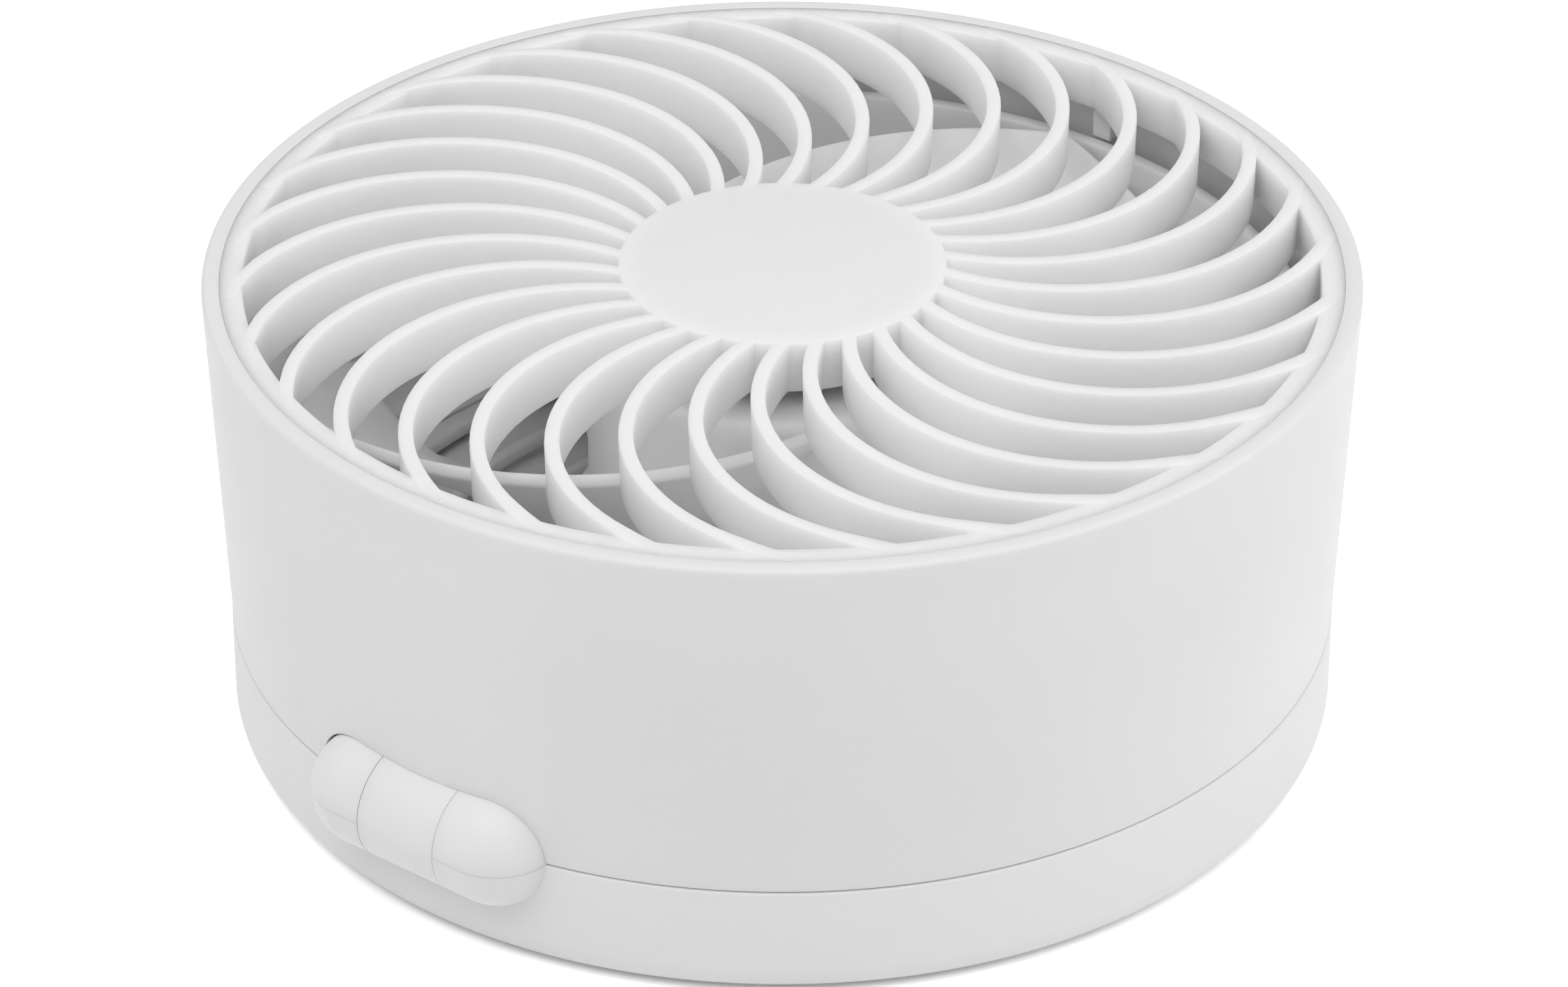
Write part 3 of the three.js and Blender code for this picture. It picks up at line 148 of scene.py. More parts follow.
# rear guard
GUARD_RADIUS = 64.2
GUARD_HUB_RADIUS = 31
GUARD_RIM_WIDTH = 3.4
GUARD_RING_COUNT = 2
GUARD_RING_WIDTH = 1.8
GUARD_SPOKE_COUNT = 12
GUARD_SPOKE_ANGLE = 7.5
GUARD_SPOKE_WIDTH = 1.8
GUARD_SPOKE_THINNER = 0.06
GUARD_SPOKE_BITE = 1
GUARD_ROUND = 0.4
GUARD_HUB_ROUND = 0.5
GUARD_SCREW_COUNT = 3
GUARD_SCREW_ANGLE = 30
GUARD_SCREW_CIRCLE = 23
GUARD_SEAT_RADIUS = 2.7

# impeller
HUB_RADIUS = 27.2
HUB_WALL = 2.2
HUB_TOP_THICKNESS = 2
HUB_ROUND = 1.6
HUB_FILLET = 0.6
HUB_FOOT_INNER_ROUND = 0.2
HUB_FOOT_ROUND = 0.3
BLADE_COUNT = 5
BLADE_TOP_DROP = 10.4
BLADE_PLATE_GAP = 2.8
BLADE_BOTTOM = MOTOR_PLATE_HEIGHT + BLADE_PLATE_GAP
BLADE_TIP_RADIUS = 70.8
BLADE_THICKNESS = 1.8
BLADE_ROUND = 0.5
BLADE_SPAN_STEPS = 44
BLADE_CHORD_STEPS = 28
# a blade's edges seen from above: arcs, their centres measured from the fan's axis
TRAIL_ARC = {"radius": 50.2, "centre": 30.3, "azimuth": 199.3}
LEAD_ARC = {"radius": 88.9, "centre": 63.1, "azimuth": 106}

# hinge
HINGE_OFFSET = 75.05
HINGE_HEIGHT = SEAM_HEIGHT
KNUCKLE_RADIUS = 8.4
BARREL_HALF = 11.1
MIDDLE_HALF = 6.64
KNUCKLE_SLIT = 0.1
KNUCKLE_ROUND = 0.08
POCKET_GAP = 0.05    # between the drum's wall and the end knuckles
POCKET_SLACK = 0.4
MIDDLE_ROOM = 0.45   # between the middle knuckle and what it turns in
NECK_HALF = 4.6
NECK_HEIGHT = 27.6
NECK_THICKNESS = 1.9
NECK_SETBACK = 0.3
NECK_BITE = 2
SLEEVE_BORE_RADIUS = 4.1
SLEEVE_BORE_HALF = 10
PIN_BORE_RADIUS = 2.3
PIN_BORE_HALF = 16.3
WASHER_BORE_RADIUS = 4.9
WASHER_BORE_DEPTH = 1.3

# base
BASE_RADIUS = 77.8
BASE_WALL = 2.4
BASE_FLOOR = 2.5
BASE_EDGE_WIDTH = 4
BASE_EDGE_HEIGHT = 4.3
BASE_ROUND = 0.45
BASE_RIM_ROUND = 0.2
BASE_FILLET = 2.5
BASE_EDGE_STEPS = 10
SPLIT_GAP = 0.04     # the crease along the end knuckles
PAD_RADIUS = 60
PAD_PROUD = 0.8
PAD_ROUND = 0.3
PAD_GAP = 0.3
DECK_DROP = 0.3
DECK_THICKNESS = 2
DECK_GAP = 0.3
DECK_ROUND = 0.35
DECK_FOOT_ROUND = 0.2
DECK_KNUCKLE_BITE = 0.6
LEDGE_WIDTH = 1.4

# openings and small pieces in the base's side
BUTTON_HEIGHT = 9.6
BUTTON_RADIUS = 3.6
BUTTON_PROUD = 0.7
BUTTON_ROUND = 0.45
BUTTON_GAP = 0.15
BUTTON_FLANGE_RADIUS = 4.6
BUTTON_FLANGE_THICKNESS = 1
BUTTON_FLANGE_GAP = 0.3
BUTTON_CAP_BITE = 0.4
BUTTON_SEAT_WIDTH = 9.8
BUTTON_SEAT_DEPTH = 4
SOCKET_X = 13
SOCKET_WIDTH = 9
SOCKET_HEIGHT = 3.2
SOCKET_WALL = 0.4
SOCKET_BACK_WALL = 1.2
SOCKET_GAP = 0.25
TONGUE_WIDTH = 6.4
TONGUE_THICKNESS = 0.7
TONGUE_ROUND = 0.15
TONGUE_RECESS = 1.2
TONGUE_BITE = 0.6
LIGHT_X = -11
LIGHT_RADIUS = 1
LIGHT_ROUND = 0.2
LIGHT_GAP = 0.12
HOLE_REACH = 7       # how far a cutting bar reaches past the middle of the base's wall

# screws
HEAD_RADIUS = 2.25
HEAD_HEIGHT = 1.3
HEAD_ROUND = 0.45
SHANK_RADIUS = 1.2
SHANK_ROUND = 0.3
SHANK_BITE = 0.4
CROSS_LENGTH = 2.4
CROSS_WIDTH = 0.55
CROSS_DEPTH = 0.7

# fineness
SHELL_STEPS = 256
INNER_STEPS = 192
SMALL_STEPS = 48
HEAD_STEPS = 40
SHANK_STEPS = 24
VANE_STEPS = 28
HINGE_STEPS = 96
CREASE_ANGLE = math.radians(28)
BLADE_EDGE_ANGLE = math.radians(50)
OVERSHOOT = 1        # how far a cut reaches past the face it opens
FAR = 200


# ---------------------------------------------------------------- finishes
LIGHT_DEPTH = 4      # how far light spreads inside the milky plastic
MOTTLE_SIZE = 35
MOTTLE_DARK, MOTTLE_PALE = 0.985, 1.01
GLOSS_SIZE = 9
GLOSS_DOWN, GLOSS_UP = 0.04, 0.05
NOISE_LOW, NOISE_HIGH = 0.3, 0.7
PLASTIC_IOR = 1.5
PLASTIC_SPECULAR = 0.35
STREAK_DARK, STREAK_PALE = 0.85, 1.08
STREAK_DOWN, STREAK_UP = 0.08, 0.1


def white_moulding(name, colour, roughness, grain_size, grain_depth, milky=0):
    """Moulded plastic: a spark-eroded grain, faint mottling, uneven gloss, light let in when milky."""
    material = bpy.data.materials.new(name)
    material.use_nodes = True
    tree = material.node_tree
    shader = tree.nodes["Principled BSDF"]
    place = tree.nodes.new("ShaderNodeTexCoord")

    def noise(size_mm, detail):
        node = tree.nodes.new("ShaderNodeTexNoise")
        node.inputs["Scale"].default_value = 1 / (size_mm * MM)
        node.inputs["Detail"].default_value = detail
        tree.links.new(place.outputs["Object"], node.inputs["Vector"])
        return node.outputs["Fac"]

    def spread(value, lowest, highest):
        node = tree.nodes.new("ShaderNodeMapRange")
        node.inputs["From Min"].default_value = NOISE_LOW
        node.inputs["From Max"].default_value = NOISE_HIGH
        node.inputs["To Min"].default_value = lowest
        node.inputs["To Max"].default_value = highest
        tree.links.new(value, node.inputs["Value"])
        return node.outputs["Result"]

    mottle = tree.nodes.new("ShaderNodeMix")
    mottle.data_type = "RGBA"
    mottle.inputs["A"].default_value = (*[c * MOTTLE_DARK for c in colour], 1)
    mottle.inputs["B"].default_value = (*[min(1, c * MOTTLE_PALE) for c in colour], 1)
    tree.links.new(spread(noise(MOTTLE_SIZE, 3), 0, 1), mottle.inputs["Factor"])
    tree.links.new(mottle.outputs["Result"], shader.inputs["Base Color"])
    gloss = spread(noise(GLOSS_SIZE, 4), roughness - GLOSS_DOWN, roughness + GLOSS_UP)
    tree.links.new(gloss, shader.inputs["Roughness"])
    bump = tree.nodes.new("ShaderNodeBump")
    bump.inputs["Strength"].default_value = 1
    bump.inputs["Distance"].default_value = grain_depth * MM
    tree.links.new(noise(grain_size, 2), bump.inputs["Height"])
    tree.links.new(bump.outputs["Normal"], shader.inputs["Normal"])
    shader.inputs["IOR"].default_value = PLASTIC_IOR
    shader.inputs["Specular IOR Level"].default_value = PLASTIC_SPECULAR
    if milky:
        shader.inputs["Subsurface Weight"].default_value = milky
        shader.inputs["Subsurface Radius"].default_value = (1, 1, 1)
        shader.inputs["Subsurface Scale"].default_value = LIGHT_DEPTH * MM
    return material


def streaked(name, colour, roughness, metallic, stretch, size_mm, depth):
    """A finish whose grain runs one way: turned or rolled metal, laminate, foil."""
    material = bpy.data.materials.new(name)
    material.use_nodes = True
    tree = material.node_tree
    shader = tree.nodes["Principled BSDF"]
    place = tree.nodes.new("ShaderNodeTexCoord")
    mapping = tree.nodes.new("ShaderNodeMapping")
    mapping.inputs["Scale"].default_value = stretch
    tree.links.new(place.outputs["Object"], mapping.inputs["Vector"])
    noise = tree.nodes.new("ShaderNodeTexNoise")
    noise.inputs["Scale"].default_value = 1 / (size_mm * MM)
    noise.inputs["Detail"].default_value = 3
    tree.links.new(mapping.outputs["Vector"], noise.inputs["Vector"])
    ramp = tree.nodes.new("ShaderNodeMapRange")
    ramp.inputs["To Min"].default_value = roughness - STREAK_DOWN
    ramp.inputs["To Max"].default_value = roughness + STREAK_UP
    tree.links.new(noise.outputs["Fac"], ramp.inputs["Value"])
    tree.links.new(ramp.outputs["Result"], shader.inputs["Roughness"])
    tint = tree.nodes.new("ShaderNodeMix")
    tint.data_type = "RGBA"
    tint.inputs["A"].default_value = (*[c * STREAK_DARK for c in colour], 1)
    tint.inputs["B"].default_value = (*[min(1, c * STREAK_PALE) for c in colour], 1)
    tree.links.new(noise.outputs["Fac"], tint.inputs["Factor"])
    tree.links.new(tint.outputs["Result"], shader.inputs["Base Color"])
    bump = tree.nodes.new("ShaderNodeBump")
    bump.inputs["Distance"].default_value = depth * MM
    tree.links.new(noise.outputs["Fac"], bump.inputs["Height"])
    tree.links.new(bump.outputs["Normal"], shader.inputs["Normal"])
    shader.inputs["Metallic"].default_value = metallic
    return material


SHELL_WHITE = (0.81, 0.81, 0.81)
# The same white plastic as the shell, painted lighter: the step up from the shell's 0.81 is painted
# light that brightens the grille, duct and impeller inside the drum
PAINTED_LIGHT_WHITE = (0.97, 0.97, 0.97)
EVEN = (1, 1, 1)
ALONG_X = (0.05, 1, 1)
ALONG_Z = (1, 1, 0.05)
IN_LAYERS = (0.05, 0.05, 1)
ACROSS_Y = (1, 0.3, 1)

shell_white = white_moulding("shell_white", SHELL_WHITE, 0.5, 0.55, 0.006, 0.15)
# the grille, duct and impeller take the painted-lighter white; their milky light spread is the plastic's
# own
grille_white = white_moulding("grille_white", PAINTED_LIGHT_WHITE, 0.44, 0.8, 0.003, 1)
duct_white = white_moulding("duct_white", PAINTED_LIGHT_WHITE, 0.48, 0.8, 0.004, 1)
impeller_white = white_moulding("impeller_white", PAINTED_LIGHT_WHITE, 0.36, 1.2, 0.002, 1)
button_white = white_moulding("button_white", SHELL_WHITE, 0.42, 0.8, 0.003, 0.15)
rubber_grey = white_moulding("rubber_grey", (0.55, 0.55, 0.54), 0.85, 0.5, 0.02)
plastic_black = white_moulding("plastic_black", (0.03, 0.03, 0.03), 0.5, 0.8, 0.004)
light_clear = white_moulding("light_clear", (0.86, 0.86, 0.84), 0.25, 0.6, 0.002)
board_green = white_moulding("board_green", (0.06, 0.24, 0.13), 0.4, 2.5, 0.01)
foam_grey = white_moulding("foam_grey", (0.1, 0.1, 0.11), 0.95, 0.9, 0.12)
steel_bright = streaked("steel_bright", (0.6, 0.61, 0.62), 0.3, 1, ALONG_X, 0.6, 0.002)
screw_zinc = streaked("screw_zinc", (0.5, 0.51, 0.52), 0.34, 1, EVEN, 0.7, 0.004)
bush_brass = streaked("bush_brass", (0.76, 0.63, 0.35), 0.3, 1, EVEN, 0.8, 0.002)
winding_copper = streaked("winding_copper", (0.7, 0.38, 0.2), 0.35, 1, ALONG_Z, 0.9, 0.08)
stator_steel = streaked("stator_steel", (0.4, 0.41, 0.42), 0.45, 1, IN_LAYERS, 0.5, 0.02)
magnet_dark = streaked("magnet_dark", (0.12, 0.12, 0.13), 0.65, 0.2, EVEN, 0.6, 0.01)
battery_wrap = streaked("battery_wrap", (0.62, 0.64, 0.67), 0.35, 0.7, ACROSS_Y, 6, 0.05)

FINISHES = {
    "shell_white": shell_white, "grille_white": grille_white, "duct_white": duct_white,
    "impeller_white": impeller_white, "button_white": button_white, "rubber_grey": rubber_grey,
    "plastic_black": plastic_black, "light_clear": light_clear, "board_green": board_green,
    "foam_grey": foam_grey, "steel_bright": steel_bright, "screw_zinc": screw_zinc,
    "bush_brass": bush_brass, "winding_copper": winding_copper, "stator_steel": stator_steel,
    "magnet_dark": magnet_dark, "battery_wrap": battery_wrap,
}


# ---------------------------------------------------------------- outlines and meshes
def rounded(corners, steps=4):
    """Outline through (radius, height, rounding) corners, each rounding an arc."""
    outline = []
    for i, corner in enumerate(corners):
        here = Vector(corner[:2])
        rounding = corner[2] if len(corner) > 2 else 0
        if not rounding:
            outline.append(here)
            continue
        back = (Vector(corners[i - 1][:2]) - here).normalized()
        ahead = (Vector(corners[(i + 1) % len(corners)][:2]) - here).normalized()
        half = back.angle(ahead) / 2
        centre = here + (back + ahead).normalized() * rounding / math.sin(half)
        start = here + back * rounding / math.tan(half) - centre
        end = here + ahead * rounding / math.tan(half) - centre
        turn = start.angle(end)
        for k in range(steps + 1):
            part = k / steps
            swing = start * math.sin((1 - part) * turn) + end * math.sin(part * turn)
            outline.append(centre + swing / math.sin(turn))
    return outline


def spun(corners, steps=INNER_STEPS):
    """Solid turned about the fan's axis; an outline that starts on the axis stays open there."""
    bm = bmesh.new()
    outline = rounded(corners)
    verts = [bm.verts.new((r, 0, z)) for r, z in outline]
    edges = [bm.edges.new(pair) for pair in zip(verts, verts[1:])]
    if outline[0].x > 0:
        edges.append(bm.edges.new((verts[-1], verts[0])))
    bmesh.ops.spin(bm, geom=verts + edges, axis=(0, 0, 1), cent=(0, 0, 0), dvec=(0, 0, 0),
                   angle=FULL_TURN, steps=steps, use_merge=True)
    return closed(bm)


def closed(bm):
    bmesh.ops.remove_doubles(bm, verts=bm.verts, dist=1e-4)
    bmesh.ops.recalc_face_normals(bm, faces=bm.faces)
    return bm


def box(width, depth, height, x, y, z, rounding=0, turn=0):
    """Block with rounded edges, turned about the fan's axis after it is put in place."""
    bm = bmesh.new()
    bmesh.ops.create_cube(bm, size=1)
    bmesh.ops.scale(bm, vec=(width, depth, height), verts=bm.verts)
    if rounding:
        bmesh.ops.bevel(bm, geom=bm.edges, offset=rounding, offset_type="OFFSET", segments=3,
                        profile=0.5, affect="EDGES", material=-1)
    bmesh.ops.translate(bm, vec=(x, y, z), verts=bm.verts)
    bmesh.ops.rotate(bm, cent=(0, 0, 0), matrix=Matrix.Rotation(math.radians(turn), 3, "Z"),
                     verts=bm.verts)
    return bm


def rod(radius, start, end, rounding=0, steps=SMALL_STEPS):
    """Cylinder between two points, its end edges rounded."""
    start, end = Vector(start), Vector(end)
    axis = end - start
    bm = bmesh.new()
    bmesh.ops.create_cone(bm, cap_ends=True, segments=steps, radius1=radius, radius2=radius,
                          depth=axis.length)
    if rounding:
        rims = [e for e in bm.edges if any(len(f.verts) > 4 for f in e.link_faces)]
        bmesh.ops.bevel(bm, geom=rims, offset=rounding, offset_type="OFFSET", segments=4,
                        profile=0.5, affect="EDGES", material=-1)
    bmesh.ops.rotate(bm, cent=(0, 0, 0), verts=bm.verts,
                     matrix=axis.to_track_quat("Z", "Y").to_matrix())
    bmesh.ops.translate(bm, vec=(start + end) / 2, verts=bm.verts)
    return bm


def hinge_rod(radius, from_x, to_x, rounding=0):
    centre = (-HINGE_OFFSET, HINGE_HEIGHT)
    return rod(radius, (from_x, *centre), (to_x, *centre), rounding, HINGE_STEPS)


def hinge_capsule(radius, left=BARREL_HALF, right=BARREL_HALF):
    """Barrel with round ends on the hinge axis: a half outline spun about that axis."""
    bm = bmesh.new()
    quarter_steps = 16
    outline = []
    for centre, start in ((-left, 180), (right, 90)):
        for k in range(quarter_steps + 1):
            angle = math.radians(start - 90 * k / quarter_steps)
            outline.append((centre + radius * math.cos(angle), radius * math.sin(angle)))
    verts = [bm.verts.new((x, 0, r)) for x, r in outline]
    edges = [bm.edges.new(pair) for pair in zip(verts, verts[1:])]
    bmesh.ops.spin(bm, geom=verts + edges, axis=(1, 0, 0), cent=(0, 0, 0), dvec=(0, 0, 0),
                   angle=FULL_TURN, steps=HINGE_STEPS, use_merge=True)
    bmesh.ops.translate(bm, vec=(0, -HINGE_OFFSET, HINGE_HEIGHT), verts=bm.verts)
    return closed(bm)


def gather(*parts):
    """One mesh of several that don't touch each other."""
    whole = bmesh.new()
    for part in parts:
        mesh = bpy.data.meshes.new("gathered")
        part.to_mesh(mesh)
        part.free()
        whole.from_mesh(mesh)
        bpy.data.meshes.remove(mesh)
    return whole


def as_object(bm, name):
    mesh = bpy.data.meshes.new(name)
    bm.to_mesh(mesh)
    bm.free()
    piece = bpy.data.objects.new(name, mesh)
    scene.collection.objects.link(piece)
    return piece


JOIN = "UNION"
CUT = "DIFFERENCE"
KEEP = "INTERSECT"


def combined(first, steps):
    """Joins each (operation, solid) to the first solid, cuts it away or keeps what they share."""
    body = as_object(first, "work")
    for operation, solid in steps:
        tool = as_object(solid, "tool")
        modifier = body.modifiers.new("combine", "BOOLEAN")
        modifier.operation = operation
        modifier.solver = "EXACT"
        modifier.object = tool
        depsgraph = bpy.context.evaluated_depsgraph_get()
        result = bpy.data.meshes.new_from_object(body.evaluated_get(depsgraph))
        body.modifiers.clear()
        used = body.data
        body.data = result
        bpy.data.meshes.remove(used)
        spent = tool.data
        bpy.data.objects.remove(tool)
        bpy.data.meshes.remove(spent)
    bm = bmesh.new()
    bm.from_mesh(body.data)
    spent = body.data
    bpy.data.objects.remove(body)
    bpy.data.meshes.remove(spent)
    return bm


def finish_piece(bm, name, body, finish, nodes):
    """Makes the mesh a piece of the fan: metres, smooth with crisp edges, finish, body, nodes."""
    bmesh.ops.remove_doubles(bm, verts=bm.verts, dist=2e-3)
    bmesh.ops.dissolve_degenerate(bm, edges=bm.edges, dist=1e-3)
    bmesh.ops.scale(bm, vec=(MM, MM, MM), verts=bm.verts)
    for face in bm.faces:
        face.smooth = True
    for edge in bm.edges:
        edge.smooth = edge.is_manifold and edge.calc_face_angle(0) < CREASE_ANGLE
    piece = as_object(bm, name)
    piece.data.materials.append(FINISHES[finish])
    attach(piece, body)
    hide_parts(*nodes)
    return piece


def around(count, start=0):
    return [start + 360 * i / count for i in range(count)]


def polar(radius, degrees, height=0):
    angle = math.radians(degrees)
    return Vector((radius * math.cos(angle), radius * math.sin(angle), height))


def turned_copy(bm, degrees):
    copy = bm.copy()
    bmesh.ops.rotate(copy, cent=(0, 0, 0), verts=copy.verts,
                     matrix=Matrix.Rotation(math.radians(degrees), 3, "Z"))
    return copy


# ---------------------------------------------------------------- drum
def drum_radius(z):
    foot = SEAM_HEIGHT + SEAM_GAP
    return DRUM_FOOT_RADIUS + (RIM_RADIUS - DRUM_FOOT_RADIUS) * (z - foot) / (TOP - foot)


def make_drum():
    foot = SEAM_HEIGHT + SEAM_GAP
    lip = RIM_RADIUS - LIP_WIDTH
    flange_top = foot + FLANGE_THICKNESS
    wall = spun([
        (INTAKE_RADIUS, foot, INTAKE_ROUND), (DRUM_FOOT_RADIUS, foot, FOOT_ROUND),
        (RIM_RADIUS, TOP, RIM_ROUND), (lip, TOP, LIP_ROUND), (lip, GRILLE_BOTTOM),
        (DRUM_FOOT_RADIUS - DRUM_WALL, flange_top), (INTAKE_RADIUS, flange_top, INTAKE_ROUND),
    ], SHELL_STEPS)
    rib_from = DUCT_INNER_RADIUS + DUCT_WALL + SEAT_RIB_GAP
    rib_to = lip + SEAT_RIB_BITE
    rib_top = GRILLE_BOTTOM - SEAT_RIB_GAP
    ribs = [box(rib_to - rib_from, SEAT_RIB_WIDTH, rib_top - DUCT_TOP,
                (rib_from + rib_to) / 2, 0, (rib_top + DUCT_TOP) / 2, turn=angle)
            for angle in around(SEAT_RIB_COUNT, SEAT_RIB_ANGLE)]
    face = MIDDLE_HALF - KNUCKLE_SLIT / 2
    neck_face = drum_radius(NECK_HEIGHT) - NECK_SETBACK
    neck_low = HINGE_HEIGHT + KNUCKLE_RADIUS - NECK_BITE
    neck = box(2 * NECK_HALF, NECK_THICKNESS, NECK_HEIGHT - neck_low,
               0, NECK_THICKNESS / 2 - neck_face, (NECK_HEIGHT + neck_low) / 2)
    return combined(wall, [
        (JOIN, gather(*ribs)),
        (CUT, hinge_capsule(KNUCKLE_RADIUS + POCKET_GAP, BARREL_HALF + POCKET_SLACK, BARREL_HALF)),
        (JOIN, neck),
        (JOIN, hinge_rod(KNUCKLE_RADIUS, -face, face, KNUCKLE_ROUND)),
        (CUT, hinge_rod(SLEEVE_BORE_RADIUS, -SLEEVE_BORE_HALF, SLEEVE_BORE_HALF)),
    ])


# ---------------------------------------------------------------- front grille
def vane_section(bm):
    """Upright section of a vane, rounded at its top edges, across the arc's radius."""
    top = TOP + VANE_PROUD
    half_top = VANE_TOP_THICKNESS / 2
    half_foot = VANE_FOOT_THICKNESS / 2
    corners = [
        (VANE_ARC_RADIUS - half_foot, GRILLE_BOTTOM, VANE_FOOT_ROUND),
        (VANE_ARC_RADIUS + half_foot, GRILLE_BOTTOM, VANE_FOOT_ROUND),
        (VANE_ARC_RADIUS + half_top, top, VANE_ROUND),
        (VANE_ARC_RADIUS - half_top, top, VANE_ROUND),
    ]
    verts = [bm.verts.new((VANE_ARC_CENTRE + r, 0, z)) for r, z in rounded(corners, 3)]
    return verts, [bm.edges.new((verts[i - 1], verts[i])) for i in range(len(verts))]


def vane_angle(radius):
    """Angle at the arc's centre, from the way to the fan's axis, where the arc has this radius."""
    squares = VANE_ARC_CENTRE ** 2 + VANE_ARC_RADIUS ** 2 - radius ** 2
    return math.acos(squares / (2 * VANE_ARC_CENTRE * VANE_ARC_RADIUS))


def vane_fade(radius):
    """How far a vane's top has come down to the ring at this radius: 0 to 1, smoothly."""
    part = min(1, max(0, (radius - VANE_FADE_FROM) / (VANE_FADE_TO - VANE_FADE_FROM)))
    return part * part * (3 - 2 * part)


def make_vane():
    start = math.pi + vane_angle(DISC_RADIUS - DISC_SKIRT / 2)
    end = math.pi + vane_angle(VANE_FADE_TO)
    bm = bmesh.new()
    verts, edges = vane_section(bm)
    centre = (VANE_ARC_CENTRE, 0, 0)
    bmesh.ops.rotate(bm, cent=centre, matrix=Matrix.Rotation(start, 3, "Z"), verts=verts)
    bmesh.ops.spin(bm, geom=verts + edges, axis=(0, 0, 1), cent=centre, dvec=(0, 0, 0),
                   angle=end - start, steps=VANE_STEPS, use_merge=False)
    bmesh.ops.holes_fill(bm, edges=bm.edges, sides=0)
    for vert in bm.verts:
        if vert.co.z > TOP - VANE_ROUND:
            vert.co.z -= (VANE_PROUD - VANE_END_PROUD) * vane_fade(math.hypot(vert.co.x, vert.co.y))
    return closed(bm)


def make_grille():
    ring_outer = RIM_RADIUS - LIP_WIDTH - LIP_GAP
    ring = spun([
        (RING_INNER_RADIUS, GRILLE_BOTTOM, RING_FOOT_ROUND), (ring_outer, GRILLE_BOTTOM),
        (ring_outer, TOP, RING_OUTER_ROUND), (RING_INNER_RADIUS, TOP, RING_ROUND),
    ], SHELL_STEPS)
    skirt = DISC_RADIUS - DISC_SKIRT
    cap = spun([
        (0, DISC_TOP - DISC_THICKNESS), (skirt, DISC_TOP - DISC_THICKNESS), (skirt, GRILLE_BOTTOM),
        (DISC_RADIUS, GRILLE_BOTTOM, DISC_FOOT_ROUND), (DISC_RADIUS, DISC_TOP, DISC_ROUND),
        (0, DISC_TOP),
    ])
    vane = make_vane()
    vanes = [turned_copy(vane, angle) for angle in around(VANE_COUNT, VANE_AZIMUTH)]
    vane.free()
    return combined(gather(ring, cap), [(JOIN, gather(*vanes))])


# ---------------------------------------------------------------- duct and guard
def make_duct():
    outer = DUCT_INNER_RADIUS + DUCT_WALL
    foot = DUCT_INNER_RADIUS - DUCT_FOOT_WIDTH
    foot_top = DUCT_BOTTOM + DUCT_FOOT_THICKNESS
    wall = spun([
        (foot, DUCT_BOTTOM, DUCT_FOOT_ROUND), (outer, DUCT_BOTTOM), (outer, DUCT_TOP, DUCT_ROUND),
        (DUCT_INNER_RADIUS, DUCT_TOP, DUCT_ROUND), (DUCT_INNER_RADIUS, foot_top, DUCT_FOOT_FILLET),
        (foot, foot_top, DUCT_FOOT_TOP_ROUND),
    ], SHELL_STEPS)
    cup_bottom = MOTOR_PLATE_HEIGHT - MOTOR_CUP_DEPTH
    cup_inner = MOTOR_CUP_RADIUS - MOTOR_CUP_WALL
    plate_low = MOTOR_PLATE_HEIGHT - MOTOR_PLATE_THICKNESS
    cup = spun([
        (0, plate_low), (cup_inner, plate_low, MOTOR_CUP_FILLET),
        (cup_inner, cup_bottom, MOTOR_CUP_FOOT_ROUND),
        (MOTOR_CUP_RADIUS, cup_bottom, MOTOR_CUP_FOOT_ROUND),
        (MOTOR_CUP_RADIUS, MOTOR_PLATE_HEIGHT, MOTOR_CUP_ROUND), (0, MOTOR_PLATE_HEIGHT),
    ])
    strut_from = MOTOR_CUP_RADIUS - STRUT_BITE
    strut_to = DUCT_INNER_RADIUS + STRUT_BITE
    struts = [box(strut_to - strut_from, STRUT_WIDTH, STRUT_HEIGHT, (strut_from + strut_to) / 2, 0,
                  MOTOR_PLATE_HEIGHT - STRUT_HEIGHT / 2, STRUT_ROUND, turn=angle)
              for angle in around(STRUT_COUNT, STRUT_ANGLE)]
    inside = spun([(0, DUCT_BOTTOM), (outer, DUCT_BOTTOM), (outer, FAR), (0, FAR)])
    pocket = combined(hinge_capsule(KNUCKLE_RADIUS + MIDDLE_ROOM + POCKET_WALL), [(KEEP, inside)])
    return combined(gather(wall, cup), [
        (JOIN, gather(*struts)),
        (JOIN, pocket),
        (CUT, hinge_capsule(KNUCKLE_RADIUS + MIDDLE_ROOM)),
    ])


